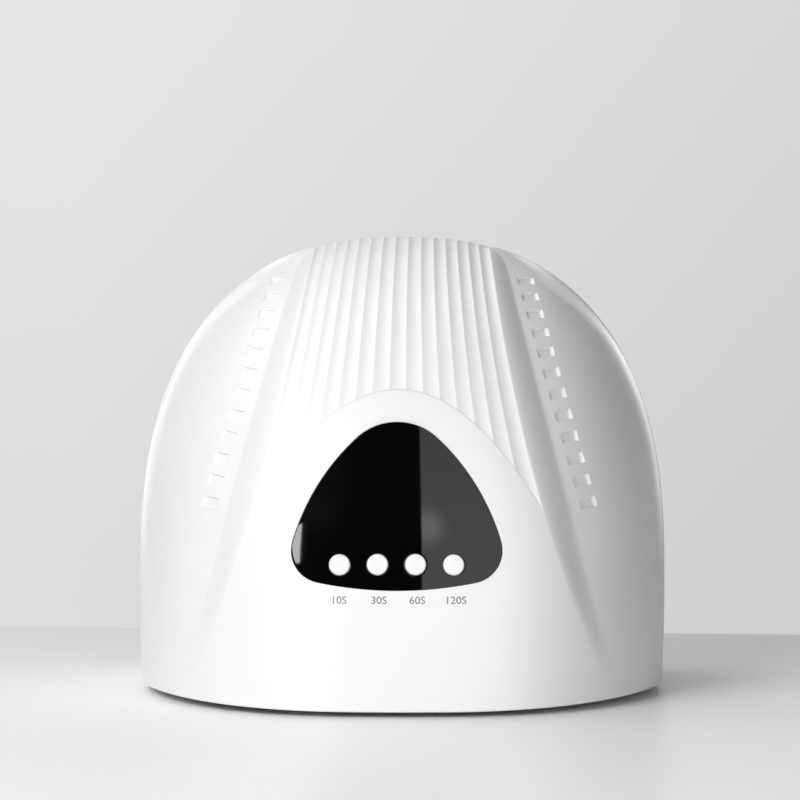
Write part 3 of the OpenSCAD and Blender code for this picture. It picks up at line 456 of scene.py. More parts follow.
def makeShell():
    # the outer skin is grids that share their edges: flutes, roof, face round the window, its
    # rounded foot, and on each hand a side panel with its half of the barrel
    skip = sf["skip"]
    below, above = rowHeights()
    columns, barrel = shellColumns()
    t, spread, cut = fluteProfile()
    part = newPart()

    # each flute runs from the arch to the top ring at one share of the hood's width; half steps
    # find the heights of both ends
    topZ = np.array(sf["topZ"])
    topShare = ringShare(hoodX(topZ), topZ)
    low, high = np.full(len(t), above[0]), np.full(len(t), sf["topZ"])
    for _ in range(80):
        low = (low + archLine(hoodX(low) * spread)) / 2
        high = (high + ringZ(hoodX(high) * spread, topShare)) / 2
    topX = hoodX(high) * spread

    def sideGrid(z, hand):
        # a side panel's rows, carried on over the barrel
        front = sidePoint(z[:, None], columns[None, :])
        back = barrelPoint(front[:, -1:, :], barrel[None, :])
        return np.concatenate([front, back], 1) * [hand, 1, 1]

    def fluteGrid(cuts):
        # rows between the two ends of each flute, cut in along the dome's normal; the first row
        # isn't cut, which leaves the little wall along the arch
        share = (above - above[0]) / (above[-1] - above[0])
        z = low + (high - low) * share[:, None]
        x = hoodX(z) * spread
        depth = cuts * cut * (share > 0)[:, None]
        return onDome(x, z) - depth[..., None] * frontNormal(x, z)

    def roofGrid(cuts):
        # rings over the top, then the barrel; the flutes fade out towards the back
        at = across(sideBreaks(topZ), columns)
        share = ringShare(at, topZ)
        share[-1] = 1
        settle = smooth(1 - np.arange(len(at)) / sf["settleRings"])[:, None]
        outermost = np.sign(t) * np.abs(t) ** sf["ringPower"]  # these flutes widen with the rings
        x = at[0] * spread + (at[:, None] - at[0]) * outermost + settle * (topX - at[0] * spread)
        z = ringZ(x, share[:, None])
        normal = frontNormal(x, z)
        front = onDome(x, z) - cuts * cut[None, :, None] * normal
        fade = smooth(sf["fluteFade"][0] - sf["fluteFade"][1] * barrel)[:, None]
        edge = np.stack([x[-1], waistPlane(z[-1]), z[-1]], -1)
        back = barrelPoint(edge - cuts * (fade * cut)[..., None] * normal[-1], barrel[:, None])
        grid = np.concatenate([front, back])
        for hand, column in ((-1, 0), (1, -1)):  # the ends are the side panels' own upper edge
            grid[:, column] = sideGrid(above[-1:], hand)[0]
        return grid

    floorRow = len(sf["footRows"]) - 1
    floorZ = below[floorRow]
    footLine = np.linspace(-1, 1, sf["footSteps"] + 1)

    def footGrid():
        # the rounded lower edge of the hood's face
        z = below[:floorRow + 1][:, None] + 0 * footLine
        x = hoodX(z) * footLine
        return onDome(x, z) - edgeInset(z)[..., None] * frontNormal(x, z)

    # the smooth face's edge as x and z: right side up, arch leftwards, left side down, foot back
    flute, roof = fluteGrid(1), roofGrid(1)
    up = np.stack([hoodX(below[floorRow:]), below[floorRow:]], -1)
    foot = np.stack([hoodX(floorZ) * footLine, np.full(len(footLine), floorZ)], -1)
    loop = np.concatenate([
        up[:-1], flute[0][::-1][:-1, [0, 2]], (up * [-1, 1])[::-1][:-1], foot])
    local = (onDome(loop[:, 0], loop[:, 1]) - panelOrigin) @ panelAxes.T
    angle = np.unwrap(np.arctan2(local[:, 1] - wf["middle"], local[:, 0]))

    def throughWindow(grow):
        # where the window's outline, carried along the panel's axis, meets the dome
        flat = outlineAt(angle, grow)
        lift = np.zeros(len(flat))
        for _ in range(12):
            p = onPanel(np.column_stack([flat, lift]))
            lift = lift + (p[:, 1] - frontY(p[:, 0], p[:, 2])) * math.cos(tilt)
        return onPanel(np.column_stack([flat, lift]))

    # the face spans from the opening's rounded rim to that edge, in straight steps
    rim, roundTo = throughWindow(wf["gap"]), 0.25
    hole = throughWindow(wf["gap"] + roundTo)
    steps = np.concatenate([[0, 0.01, 0.03], np.linspace(0.08, 0.92, 26), [0.96, 0.985, 1]])
    steps = padded(steps, skip)[:, None]
    x = hole[:, 0] + (loop[:, 0] - hole[:, 0]) * steps
    z = hole[:, 2] + (loop[:, 1] - hole[:, 2]) * steps
    face = onDome(x, z)
    inward = -panelAxes[2]
    opening = np.stack([face[0], rim + 0.06 * inward + (face[0] - rim) * 0.3,
                        rim + roundTo * inward, rim + sf["wall"] * inward])

    # outer skin
    fluteIds, roofIds = addPoints(part, flute), addPoints(part, roof)
    faceIds, openIds = addPoints(part, face), addPoints(part, opening)
    footIds = addPoints(part, footGrid())
    for ids in (fluteIds, roofIds, faceIds, openIds, footIds):
        addSheet(part, ids)
    rows = np.concatenate([below, above[1:]])
    wide, tall = sf["blockColumns"], sf["blockRows"]
    ventColumn = int(np.argmin(np.abs(columns - 2)))
    ventRows = len(below) + np.arange(sf["vents"]) * sf["rowsPerVent"]
    keep = np.ones((len(rows) - 1, len(columns) + len(barrel) - 1), bool)
    for row in ventRows:
        keep[row:row + tall, ventColumn:ventColumn + wide] = False
    sides = {}
    for hand in (-1, 1):
        grid = sideGrid(rows, hand)
        ids = addPoints(part, grid)
        addSheet(part, ids, keep)
        sides[hand] = (grid, ids)
        addVents(part, ids, rows, ventRows, ventColumn, hand)

    # inner skin, a third as fine, and the rims between the two
    addInner = lambda grid: addPoints(part, drawnIn(grid[::skip, ::skip]))
    innerSide = {hand: addInner(sides[hand][0]) for hand in (-1, 1)}
    innerFlute, innerRoof = addInner(fluteGrid(0)), addInner(roofGrid(0))
    innerFaceGrid = drawnIn(face[::skip, ::skip])
    innerFaceGrid[0] = opening[-1][::skip]
    innerFace = addPoints(part, innerFaceGrid)
    innerFoot = addInner(footGrid())
    for ids in (innerSide[-1], innerSide[1], innerFlute, innerRoof, innerFace, innerFoot):
        addSheet(part, ids)
    addZip(part, openIds[-1], innerFace[0])
    addZip(part, footIds[0], innerFoot[0])
    addZip(part, roofIds[-1], innerRoof[-1])
    for hand in (-1, 1):
        addZip(part, sides[hand][1][0], innerSide[hand][0])
        addZip(part, sides[hand][1][:, -1], innerSide[hand][:, -1])

    # in front the lower edge comes down a little, most in the middle
    (lipZ, fadeZ), (share, fadeX) = sf["lipTop"], sf["lipWide"]
    for p in part["points"]:
        lower = (smooth((lipZ - p[:, 2]) / fadeZ) * smooth((waistY - p[:, 1]) / sf["lipDeep"])
                 * smooth(share - np.abs(p[:, 0]) / fadeX))
        p[:, 2] -= sf["lipDrop"] * lower
    return part


def addVents(part, ids, rows, ventRows, column, hand):
    # each vent fills a block of the side's rows and columns: rings run from the block's edge over
    # a small round and down the walls to the floor; the outer wall slopes most
    wide, tallShare, floor = sf["ventWidth"], sf["ventShare"], sf["ventDepth"]
    blockWide = wide + 2 * sf["ventMargin"]
    # ring by ring: growth beyond the vent's own rectangle, inset of the outer wall, and depth
    rings = np.array([
        [0.14, 0.0, 0.0], [0.03, 0.0, 0.02], [0.0, 0.0, 0.1], [-0.08, -0.6, 0.7],
        [-0.12, -0.8, 0.88], [-0.22, -0.95, floor], [-1.1, -1.2, floor],
    ])
    grow, inset, depth = rings[:, 0:1], rings[:, 1:2], rings[:, 2:3]
    # once round the block, in whole columns and rows
    m, n = sf["blockColumns"], sf["blockRows"]
    loopA = np.array([*range(m), *[m] * n, *range(m, 0, -1), *[0] * n])
    loopB = np.array([*[0] * m, *range(n), *[n] * m, *range(n, 0, -1)])
    for row in ventRows:
        blockTall = rows[row + n] - rows[row]
        tall = blockTall * tallShare
        left = (blockWide - wide) / 2 - grow
        right = (blockWide + wide) / 2 + grow + inset
        bottom = (blockTall - tall) / 2 - grow
        top = (blockTall + tall) / 2 + grow
        e = 2 + (left + loopA / m * (right - left)) / blockWide
        z = rows[row] + bottom + loopB / n * (top - bottom)
        da = sidePoint(z, e + 0.01) - sidePoint(z, e - 0.01)
        db = sidePoint(z + 0.05, e) - sidePoint(z - 0.05, e)
        p = sidePoint(z, e) - depth[..., None] * unit(np.cross(da, db))
        p = p * [hand, 1, 1]
        outer = ids[row + loopB, column + loopA]
        ringIds = np.concatenate([outer[None], addPoints(part, p)])
        addRings(part, ringIds)
        middle, last = addPoints(part, p[-1].mean(0)[None]), ringIds[-1]
        part["tris"].append(np.stack([last, np.roll(last, -1), middle.repeat(len(last))], -1))


def makeWindow():
    # the face is a sphere over the outline with four bores; the same net, set back, closes it
    turns, boreTurns = wf["outlineSteps"], wf["boreSteps"]
    bevel, thick = wf["bevel"], wf["thick"]
    boreR = wf["capD"] / 2 + wf["capPlay"]
    angle = np.linspace(-np.pi, np.pi, turns + 1)[:-1]
    around = np.linspace(0, 2 * np.pi, boreTurns + 1)[:-1]
    ring = np.stack([np.cos(around), np.sin(around)], -1)

    def within(xy, back, clear):
        # inside the outline by one distance and outside every bore by another
        x, y = xy[:, 0], xy[:, 1] - wf["middle"]
        inside = np.hypot(x, y) < outlineReach(np.arctan2(y, x)) - back
        for c in capPlaces:
            inside &= np.hypot(*(xy - c).T) > boreR + clear
        return inside

    loops = [outlineAt(angle, -bevel), outlineAt(angle, -1.6 * bevel)]
    loops += [c + (boreR + reach) * ring for reach in wf["boreLoops"] for c in capPlaces]
    gx, gy = np.meshgrid(np.arange(-42, 42, wf["netStep"]), np.arange(-32, 36, wf["netStep"]))
    net = np.stack([gx.ravel(), gy.ravel()], -1)
    net = net[within(net, wf["netBack"] * bevel, 1.0)]
    starts = np.cumsum([0] + [len(loop) for loop in loops])
    edges = np.concatenate([
        np.stack([s + np.arange(len(loop)), s + (np.arange(len(loop)) + 1) % len(loop)], -1)
        for s, loop in zip(starts, loops)])
    made, _, faces, _, _, _ = delaunay_2d_cdt(
        [Vector(p) for p in np.concatenate([*loops, net])], edges.tolist(), [], 0, 1e-5)
    xy = np.array([tuple(v) for v in made])
    tris = np.array([f for f in faces if len(f) == 3])
    tris = tris[within(xy[tris].mean(1), 0.98 * bevel, wf["boreRound"] - 0.001)]

    part = newPart()
    z = domeZ(xy[:, 0], xy[:, 1])
    front = addPoints(part, onPanel(np.column_stack([xy, z])))
    back = addPoints(part, onPanel(np.column_stack([xy, z - thick])))
    part["tris"] += [front[tris], back[tris[:, ::-1]]]

    def addWall(rim, lineAt, profile):
        # rings down an edge, from the face to the back; the profile gives growth and drop
        start = lineAt(profile[0][0])
        z = domeZ(start[:, 0], start[:, 1])
        rings = np.stack([onPanel(np.column_stack([lineAt(grow), z - drop]))
                          for grow, drop in profile[1:]])
        addRings(part, np.concatenate([front[rim][None], addPoints(part, rings), back[rim][None]]))

    addWall(np.arange(turns), lambda grow: outlineAt(angle, grow), [
        (-bevel, 0), (-0.22 * bevel, 0.06), (-0.06 * bevel, 0.18), (0, bevel),
        (0, thick - 0.3), (-0.2, thick - 0.1)])
    for k, c in enumerate(capPlaces):
        addWall(starts[2 + k] + np.arange(boreTurns), lambda grow: c + (boreR + grow) * ring, [
            (wf["boreRound"], 0), (0.04, 0.03), (0, 0.15), (0, thick - 0.1)])
    return part


capForm = {"round": 0.7, "dish": 0.12, "collar": 1.0, "collarThick": 1.0, "gap": 0.3, "turns": 96}


def makeCap(k):
    # a profile of radius and height turned round the cap's axis: a very slightly dished face, a
    # rounded shoulder, a skirt and a collar
    cf = capForm
    radius, x, y = wf["capD"] / 2, *capPlaces[k]
    face = float(domeZ(x, y)) + wf["capProud"]
    collarR = radius + cf["collar"]
    back = (float(domeZ(math.hypot(x, y) + collarR, 0))
            - wf["thick"] - cf["gap"] - cf["collarThick"])
    r = np.linspace(0, radius - cf["round"], 9)
    top = np.stack([r, face - cf["dish"] * (1 - (r / r[-1]) ** 2)], -1)
    turn = np.linspace(0, np.pi / 2, 9)[1:]
    shoulder = np.stack([radius - cf["round"] * (1 - np.sin(turn)),
                         face - cf["round"] * (1 - np.cos(turn))], -1)
    lip = back + cf["collarThick"]
    low = np.array([[radius, lip + 0.05], [radius + 0.05, lip], [collarR - 0.1, lip],
                    [collarR, lip - 0.1], [collarR, back + 0.1], [collarR - 0.1, back], [0, back]])
    r, h = np.concatenate([top, shoulder, low]).T[..., None]
    angle = np.linspace(0, 2 * np.pi, cf["turns"] + 1)
    part = newPart()
    addSheet(part, addPoints(part, onPanel(np.stack([
        r * np.cos(angle) + x, r * np.sin(angle) + y, h + 0 * angle], -1))))
    return part


labelForm = {
    "words": {"10S": -21.8, "30S": -6.6, "60S": 7.9, "120S": 22.4}, "z": 43.9, "tall": 2.75,
    "figureShare": 0.69, "wide": 1.06, "weight": 0.012, "thick": 0.03, "lift": 0.02,
}


def makeLabels():
    # printed times under the window: flat letters laid on the dome, a film of ink thick
    lf = labelForm
    part = newPart()
    for word, x in lf["words"].items():
        curve = bpy.data.curves.new(word, "FONT")
        curve.body, curve.align_x, curve.align_y = word, "CENTER", "CENTER"
        curve.size, curve.extrude = lf["tall"] / lf["figureShare"], lf["thick"] / 2
        curve.offset, curve.resolution_u = lf["weight"] * lf["tall"], 4
        letters = bpy.data.objects.new(word, curve)
        bpy.context.scene.collection.objects.link(letters)
        bpy.context.view_layer.update()
        shown = letters.evaluated_get(bpy.context.evaluated_depsgraph_get())
        mesh = bpy.data.meshes.new_from_object(shown)
        co = np.zeros(len(mesh.vertices) * 3)
        mesh.vertices.foreach_get("co", co)
        co = co.reshape(-1, 3)
        px, pz = co[:, 0] * lf["wide"] + x, co[:, 1] + lf["z"]
        out = frontNormal(px, pz) * (co[:, 2:3] + lf["lift"])
        ids = addPoints(part, onDome(px, pz) + out)
        for kind, corners in (("tris", 3), ("quads", 4)):
            part[kind] += [ids[np.array([face.vertices[:]])] for face in mesh.polygons
                           if len(face.vertices) == corners]
        bpy.data.objects.remove(letters)
        bpy.data.meshes.remove(mesh)
    return part


def linear(hexColour):
    # sRGB hex to linear red, green, blue and alpha
    values = [int(hexColour[i:i + 2], 16) / 255 for i in (1, 3, 5)]
    return [v / 12.92 if v <= 0.04045 else ((v + 0.055) / 1.055) ** 2.4 for v in values] + [1]


def addNode(tree, kind, settings=None, links=None):
    # one node with its sockets or properties set by name and its inputs linked
    node = tree.nodes.new(kind)
    for key, value in (settings or {}).items():
        if isinstance(key, int) or key in node.inputs:
            node.inputs[key].default_value = value
        else:
            setattr(node, key, value)
    for key, source in (links or {}).items():
        tree.links.new(source, node.inputs[key])
    return node


def newMaterial(name, settings):
    # a material with a shader set by name, and the object's own coordinates for its patterns
    material = bpy.data.materials.new(name)
    material.use_nodes = True
    tree = material.node_tree
    tree.nodes.clear()
    shader = addNode(tree, "ShaderNodeBsdfPrincipled", settings)
    addNode(tree, "ShaderNodeOutputMaterial", links={"Surface": shader.outputs[0]})
    place = addNode(tree, "ShaderNodeTexCoord").outputs["Object"]
    return material, tree, shader, place


def moulded(name, colour, shade, rough, roughSpread, grain, height, ior=1.53):
    # moulded plastic: a fine even grain in the surface, roughness that drifts over 30 mm, and a
    # colour that moves a little between two shades; grain and height are in millimetres, and the
    # grain is drawn a few times coarser than the real one, so that it shows
    material, tree, shader, place = newMaterial(name, {"IOR": ior})
    fine = addNode(tree, "ShaderNodeTexNoise", {
        "Scale": 1 / (grain * mm), "Detail": 3.0, "Roughness": 0.6}, {"Vector": place})
    drift = addNode(tree, "ShaderNodeTexNoise", {
        "Scale": 1 / (30 * mm), "Detail": 2.0}, {"Vector": place})
    tone = addNode(tree, "ShaderNodeMix", {
        "data_type": "RGBA", 6: linear(colour), 7: linear(shade)}, {0: drift.outputs["Fac"]})
    gloss = addNode(tree, "ShaderNodeMapRange", {
        "From Min": 0.3, "From Max": 0.7, "To Min": rough - roughSpread,
        "To Max": rough + roughSpread}, {"Value": drift.outputs["Fac"]})
    bump = addNode(tree, "ShaderNodeBump", {
        "Distance": height * mm, "Strength": 1.0}, {"Height": fine.outputs["Fac"]})
    tree.links.new(tone.outputs[2], shader.inputs["Base Color"])
    tree.links.new(gloss.outputs[0], shader.inputs["Roughness"])
    tree.links.new(bump.outputs[0], shader.inputs["Normal"])
    return material


def metal(name, colour, rough, grain, stretch=(1, 1, 1), height=0.002):
    # metal: the grain is noise, drawn out along one direction where it was wound or rolled
    material, tree, shader, place = newMaterial(name, {
        "Base Color": linear(colour), "Metallic": 1.0})
    turned = addNode(tree, "ShaderNodeMapping", {"Scale": stretch}, {"Vector": place})
    fine = addNode(tree, "ShaderNodeTexNoise", {
        "Scale": 1 / (grain * mm), "Detail": 4.0}, {"Vector": turned.outputs[0]})
    gloss = addNode(tree, "ShaderNodeMapRange", {
        "To Min": rough * 0.7, "To Max": rough * 1.4}, {"Value": fine.outputs["Fac"]})
    bump = addNode(tree, "ShaderNodeBump", {
        "Distance": height * mm}, {"Height": fine.outputs["Fac"]})
    tree.links.new(gloss.outputs[0], shader.inputs["Roughness"])
    tree.links.new(bump.outputs[0], shader.inputs["Normal"])
    return material


def clearEpoxy(name):
    # cast clear epoxy, faintly violet: a bright bead with a soft inside, clouded every 2 mm
    material, tree, shader, place = newMaterial(name, {
        "Roughness": 0.08, "IOR": 1.5, "Transmission Weight": 0.6})
    cloud = addNode(tree, "ShaderNodeTexNoise", {"Scale": 1 / (2 * mm)}, {"Vector": place})
    tone = addNode(tree, "ShaderNodeMix", {
        "data_type": "RGBA", 6: linear("#d9d2ef"), 7: linear("#efeaf7")},
        {0: cloud.outputs["Fac"]})
    tree.links.new(tone.outputs[2], shader.inputs["Base Color"])
    return material


# colour, second shade, roughness and its spread, grain and its height in millimetres, IOR
mouldedForms = {
    # satin-gloss moulded ABS: a broad soft highlight and a faint orange peel
    "satinAbsWhite": ("#f2f2f2", "#efefef", 0.36, 0.03, 0.9, 0.004),
    # finely eroded ABS: nearly matt, an even fine grain
    "grainedAbsWhite": ("#ececeb", "#e8e8e7", 0.48, 0.04, 0.35, 0.012),
    "grainedAbsGrey": ("#dededb", "#dadad6", 0.5, 0.04, 0.35, 0.012),
    # polished ABS caps: a tight highlight on each
    "glossAbsWhite": ("#f4f4f3", "#f2f2f1", 0.2, 0.02, 0.8, 0.002),
    # polished black acrylic: mirror-like, no grain to be seen, hardly a ripple
    "polishedAcrylic": ("#050506", "#070708", 0.035, 0.008, 12.0, 0.004, 1.49),
    # plain moulded nylon and ABS inside: dull, black, grey or ivory
    "blackNylon": ("#17171a", "#1d1d20", 0.5, 0.06, 0.4, 0.01),
    "greyNylon": ("#3b3b3f", "#414146", 0.5, 0.06, 0.4, 0.01),
    "ivoryNylon": ("#e2dcc8", "#d9d2bb", 0.45, 0.05, 0.5, 0.008),
    "greyAbs": ("#c2c3c1", "#babbb9", 0.5, 0.05, 0.4, 0.01),
    # infrared filter: black with a red cast, polished
    "filterBlack": ("#160a10", "#1d0d14", 0.12, 0.02, 3.0, 0.002),
    # solder mask over a board: a thin gloss lacquer
    "maskGreen": ("#1c5a37", "#174d2f", 0.3, 0.05, 0.6, 0.006),
    "maskWhite": ("#eceff1", "#e3e8ea", 0.35, 0.05, 0.6, 0.006),
    # sleeve shrunk on with heat: dark and rather glossy, with soft ripples
    "shrunkSleeve": ("#1b2230", "#232b3b", 0.25, 0.04, 1.5, 0.01),
    # soft PVC round a flat cable: pale and a little waxy
    "softPvc": ("#d3d3cf", "#c9c9c4", 0.45, 0.05, 0.7, 0.01),
    # moulded nitrile rubber: matt, dusty black-grey
    "nitrileRubber": ("#3f3f41", "#4b4b4d", 0.75, 0.06, 0.3, 0.02, 1.5),
    # printing ink: flat grey
    "greyInk": ("#7c7c7e", "#848486", 0.55, 0.04, 0.2, 0.003),
    # satin laminate of the table: bright, with a broad faint mirror image
    "whiteLaminate": ("#fefefe", "#fcfcfc", 0.34, 0.01, 2.5, 0.004),
}
# colour, roughness, grain in millimetres, stretch of the grain and its height
metalForms = {
    # aluminium evaporated on plastic: a blurred mirror
    "metallisedAbs": ("#cfd0d2", 0.2, 3.0, (1, 1, 1), 0.02),
    # zinc-plated steel: cool grey, a soft sheen with a fine speckle
    "zincSteel": ("#bfc1c4", 0.32, 0.4),
    # nickel plate: warmer and brighter than zinc
    "nickelPlate": ("#bdb8ae", 0.15, 0.6),
    # enamelled copper wire, wound: orange-brown, with bands from turn to turn
    "enamelledCopper": ("#b5692f", 0.28, 0.8, (1, 1, 6), 0.05),
}
finishes = {name: moulded(name, *values) for name, values in mouldedForms.items()}
finishes.update({name: metal(name, *values) for name, values in metalForms.items()})
finishes["clearEpoxy"] = clearEpoxy("clearEpoxy")
print("materials", len(finishes))


def dress(piece, finish, body, nodes=()):
    # a piece's finish, its body and the nodes that it replaces
    piece.data.materials.append(finishes[finish])
    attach(piece, body)
    if nodes:
        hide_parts(*nodes)


shell = finishMesh("shell", makeShell(), 30)
dress(shell, "satinAbsWhite", "housing", ["upper_shell"])
window = finishMesh("window", makeWindow(), 40)
dress(window, "polishedAcrylic", "housing", ["display_window"])
for k, seconds in enumerate(("10s", "30s", "60s", "120s")):
    cap, button = finishMesh("cap_" + seconds, makeCap(k), 50), "button_" + seconds
    dress(cap, "glossAbsWhite", button, [button])
labels = finishMesh("labels", makeLabels(), 40, outwards=False)
dress(labels, "greyInk", "housing")
print("shell, window, caps and labels made")

nodeFinishes = {
    "grainedAbsWhite": ["rear_bezel", "base_tray"], "grainedAbsGrey": ["base_plate"],
    "metallisedAbs": ["chamber_liner"], "greyAbs": ["panel_bracket"],
    "blackNylon": ["display_module", "tact_switches", "dc_jack"],
    "greyNylon": ["stem_10s", "stem_30s", "stem_60s", "stem_120s"],
    "ivoryNylon": ["board_posts"], "maskGreen": ["control_board", "driver_board"],
    "maskWhite": ["led_board_roof", "led_board_left", "led_board_right"],
    "clearEpoxy": ["led_lenses"], "filterBlack": ["hand_sensor"],
    "shrunkSleeve": ["driver_capacitors"], "enamelledCopper": ["driver_coil"],
    "softPvc": ["ribbon_cable"], "nitrileRubber": ["rubber_feet"],
    "nickelPlate": ["tray_magnets"], "zincSteel": ["case_screws", "tray_keepers"],
}
for finish, nodes in nodeFinishes.items():
    for node in nodes:
        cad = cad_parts[node]
        if not cad.material_slots:
            cad.data.materials.append(finishes[finish])
        for place in cad.material_slots:
            place.material = finishes[finish]
    print(finish, "on", *nodes)

# the table, in metres and degrees
tableForm = {"back": 0.256, "turn": -5.2, "front": -3.0, "side": 3.0, "thick": 0.04}


def makeTable():
    # a white laminate top that ends behind the lamp, standing slightly turned
    tf = tableForm
    turn = math.radians(tf["turn"])
    corners = [[px * math.cos(turn) - py * math.sin(turn),
                px * math.sin(turn) + py * math.cos(turn), pz]
               for px in (-tf["side"], tf["side"]) for py in (tf["front"], tf["back"])
               for pz in (-tf["thick"], 0)]
    faces = [[0, 1, 3, 2], [4, 6, 7, 5], [0, 4, 5, 1], [2, 3, 7, 6], [0, 2, 6, 4], [1, 5, 7, 3]]
    mesh = bpy.data.meshes.new("table")
    mesh.from_pydata(corners, [], faces)
    table = bpy.data.objects.new("table", mesh)
    bpy.context.scene.collection.objects.link(table)
    mesh.materials.append(finishes["whiteLaminate"])


worldForm = {
    # the wall's two colours are painted shade: lighter on the left, darker on the right
    "litWallLeft": "#e6e6e6", "shadedWallRight": "#d6d6d6",
    # a part of the direction, its range, and what that range becomes
    "ranges": {
        # the tone range spreads the wall's painted shade from left to right, and the foot's range
        # is painted shade, darker towards the wall's foot
        "tone": ("X", -0.11, 0.11, 0.0, 1.0), "shadedWallFoot": ("Z", -0.075, 0.07, 0.91, 1.0),
        "fromBehind": ("Y", -0.2, 0.9, 0.0, 0.34), "fromLeft": ("X", -0.5, 0.5, 1.0, 0.35),
        "besides": ("X", -0.3, 0.3, 0.62, 0.0), "behind": ("Y", 0.8, 0.95, 0.0, 1.0),
    },
}


def makeWorld():
    # soft light, most of it from behind and from the left; the camera sees a pale wall with painted
    # shade, a little darker to the right and at its foot, and mirrors see it behind the lamp, half
    # as bright on the left, and dark on the right
    world = bpy.data.worlds.new("studio")
    bpy.context.scene.world = world
    world.use_nodes = True
    tree = world.node_tree
    tree.nodes.clear()
    path = addNode(tree, "ShaderNodeLightPath").outputs
    sky = addNode(tree, "ShaderNodeTexCoord").outputs["Generated"]
    direction = addNode(tree, "ShaderNodeSeparateXYZ", links={0: sky}).outputs
    at = {}
    for name, (part, low, high, start, end) in worldForm["ranges"].items():
        at[name] = addNode(tree, "ShaderNodeMapRange", {
            "From Min": low, "From Max": high, "To Min": start, "To Max": end},
            {"Value": direction[part]}).outputs[0]
    seen = path["Is Camera Ray"]
    for ray in ("Is Glossy Ray", "Is Transmission Ray"):
        seen = addNode(tree, "ShaderNodeMath", {"operation": "MAXIMUM"},
                       {0: seen, 1: path[ray]}).outputs[0]
    level = addNode(tree, "ShaderNodeMath", {"operation": "MULTIPLY"},
                    {0: at["fromBehind"], 1: at["fromLeft"]})
    fill = addNode(tree, "ShaderNodeBackground", {"Color": linear("#ffffff")},
                   {"Strength": level.outputs[0]})
    # the wall's colour carries painted shade, lighter on the left and darker to the right
    colour = addNode(tree, "ShaderNodeMix", {
        "data_type": "RGBA", 6: linear(worldForm["litWallLeft"]), 7: linear(worldForm["shadedWallRight"])},
        {0: at["tone"]})
    behind = addNode(tree, "ShaderNodeMath", {"operation": "MAXIMUM"},
                     {0: at["behind"], 1: path["Is Camera Ray"]})
    # for the camera the wall's strength is the painted shade at its foot
    around = addNode(tree, "ShaderNodeMix", {"data_type": "FLOAT"},
                     {0: behind.outputs[0], 2: at["besides"], 3: at["shadedWallFoot"]})
    wall = addNode(tree, "ShaderNodeBackground", links={
        "Color": colour.outputs[2], "Strength": around.outputs[0]})
    both = addNode(tree, "ShaderNodeMixShader", links={
        0: seen, 1: fill.outputs[0], 2: wall.outputs[0]})
    addNode(tree, "ShaderNodeOutputWorld", links={"Surface": both.outputs[0]})


# cards that the window mirrors, painting its reflections of a dark room, a softbox and a grey
# screen while lighting nothing; their sides are angles in degrees seen from it, and the painted
# highlight is a soft spot over a light that fades upwards
windowUp, cardTop = 0.08, 0.8
cardForms = {
    # painted reflection: black cards that the window shows as a dark room
    "darkRoom": {"left": -23.6, "right": 4.7, "low": -10, "high": 55},
    "darkAbove": {"left": -34, "right": -23.6, "low": 14.2, "high": 55},
    "darkBelow": {"left": -34, "right": -23.6, "low": -10, "high": 4.6},
    # painted reflection of a softbox: a bright card, no lamp, seen only in mirrors
    "softbox": {"left": -34, "right": -23.6, "low": 4.6, "high": 14.2, "distance": 0.99,
                "strength": 11.5},
    "greyScreen": {"left": 4.7, "right": 40, "low": -10, "high": 55, "strength": 1.4, "paintedHighlight": {
        "azimuth": 5.6, "elevation": 13, "radius": 0.13, "strength": 1.5, "fade": 0.15}},
}


def addCard(name, left, right, low, high, distance=1.0, strength=0.0, paintedHighlight=None):
    # an upright card in front of the lamp that only mirrors see, a painted reflection that lights
    # nothing; a side lies at the distance times the tangent of its angle
    tan = lambda degrees: math.tan(math.radians(degrees)) * distance
    at = lambda azimuth, elevation: (tan(azimuth), -distance, windowUp + tan(elevation))
    corners = [at(left, low), at(right, low), at(right, high), at(left, high)]
    mesh = bpy.data.meshes.new(name)
    mesh.from_pydata(corners, [], [[0, 1, 2, 3]])
    card = bpy.data.objects.new(name, mesh)
    bpy.context.scene.collection.objects.link(card)
    material = bpy.data.materials.new(name)
    material.use_nodes = True
    tree = material.node_tree
    tree.nodes.clear()
    light = addNode(tree, "ShaderNodeEmission", {"Color": linear("#ffffff"), "Strength": strength})
    # painted highlight: a bright soft spot on the card, shown by mirrors as a glint, over a level
    # that fades upwards
    if paintedHighlight:
        place = addNode(tree, "ShaderNodeTexCoord").outputs["Object"]
        away = addNode(tree, "ShaderNodeVectorMath", {
            "operation": "DISTANCE", 1: at(paintedHighlight["azimuth"], paintedHighlight["elevation"])}, {0: place})
        spot = addNode(tree, "ShaderNodeMapRange", {
            "interpolation_type": "SMOOTHERSTEP", "From Min": 0.0, "From Max": paintedHighlight["radius"],
            "To Min": paintedHighlight["strength"], "To Max": 0.0}, {"Value": away.outputs["Value"]})
        up = addNode(tree, "ShaderNodeSeparateXYZ", links={0: place}).outputs["Z"]
        level = addNode(tree, "ShaderNodeMapRange", {
            "From Min": windowUp, "From Max": cardTop, "To Min": strength * (1 + paintedHighlight["fade"]),
            "To Max": strength * (1 - paintedHighlight["fade"])}, {"Value": up})
        total = addNode(tree, "ShaderNodeMath", {"operation": "ADD"},
                        {0: spot.outputs[0], 1: level.outputs[0]})
        tree.links.new(total.outputs[0], light.inputs["Strength"])
    addNode(tree, "ShaderNodeOutputMaterial", links={"Surface": light.outputs[0]})
    mesh.materials.append(material)
    card.visible_camera = card.visible_diffuse = card.visible_shadow = False
    card.visible_transmission = card.visible_volume_scatter = False


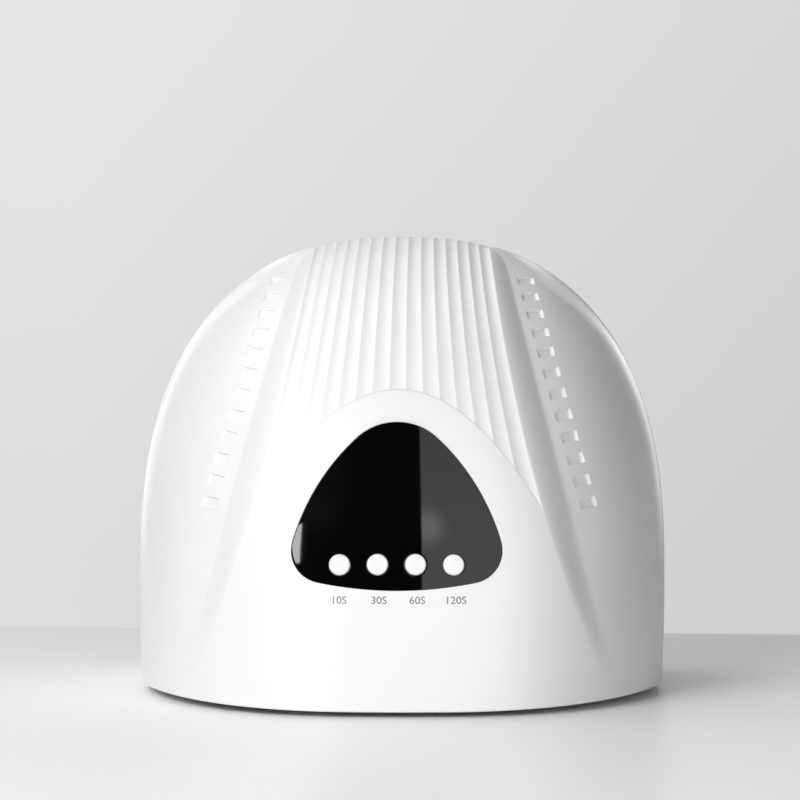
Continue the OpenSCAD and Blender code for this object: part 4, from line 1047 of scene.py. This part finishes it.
# square softboxes that face the lamp's middle; azimuth 0 is in front, positive to the right
lampAim = Vector((0, 0, 0.09))
lampForms = {
    "keyLow": {"azimuth": -24, "elevation": 22, "size": 0.5, "power": 8.2},
    "keyHigh": {"azimuth": -43, "elevation": 38, "size": 0.5, "power": 8.3},
    "fillRight": {"azimuth": 28, "elevation": 10, "size": 1.0, "power": 7.8},
    "topLeft": {"azimuth": -100, "elevation": 58, "size": 1.4, "power": 7.2, "distance": 1.8},
    "topBack": {"azimuth": -155, "elevation": 60, "size": 1.4, "power": 5.4, "distance": 1.8},
}


def addLamp(name, azimuth, elevation, size, power, distance=1.6):
    # stands in the direction of the two angles and faces back along it
    a, e = math.radians(azimuth), math.radians(elevation)
    away = Vector((math.sin(a) * math.cos(e), -math.cos(a) * math.cos(e), math.sin(e)))
    light = bpy.data.lights.new(name, "AREA")
    light.shape, light.size, light.energy = "SQUARE", size, power
    lamp = bpy.data.objects.new(name, light)
    lamp.location = lampAim + away * distance
    lamp.rotation_mode = "QUATERNION"
    lamp.rotation_quaternion = away.to_track_quat("Z", "Y")
    lamp.visible_camera = False
    bpy.context.scene.collection.objects.link(lamp)


# places in millimetres; the focal length, horizon, middle and frame are in the photo's pixels
cameraForm = {"distance": 1500.0, "side": 31.0, "height": 166.0, "sensor": 36.0,
              "focal": 3735.0, "horizon": 277.0, "middle": 401.5, "frame": 800.0}


def makeCamera():
    # stands in front of the widest plane, a little to the right, and looks slightly down
    cf = cameraForm
    data = bpy.data.cameras.new("camera")
    data.sensor_width = cf["sensor"]
    data.lens = cf["focal"] / cf["frame"] * data.sensor_width
    data.clip_start, data.clip_end = 0.1, 20
    camera = bpy.data.objects.new("camera", data)
    bpy.context.scene.collection.objects.link(camera)
    camera.location = np.array([cf["side"], waistY - cf["distance"], cf["height"]]) * mm
    half = cf["frame"] / 2
    pitch = math.atan((half - cf["horizon"]) / cf["focal"])
    yaw = math.atan(cf["side"] / cf["distance"]) + math.atan((cf["middle"] - half) / cf["focal"])
    camera.rotation_euler = (math.pi / 2 - pitch, 0, yaw)
    bpy.context.scene.camera = camera


makeTable()
makeWorld()
for name, settings in cardForms.items():
    addCard(name, **settings)
for name, settings in lampForms.items():
    addLamp(name, **settings)
makeCamera()
bpy.context.scene.view_settings.view_transform = "Standard"
print("stage set")
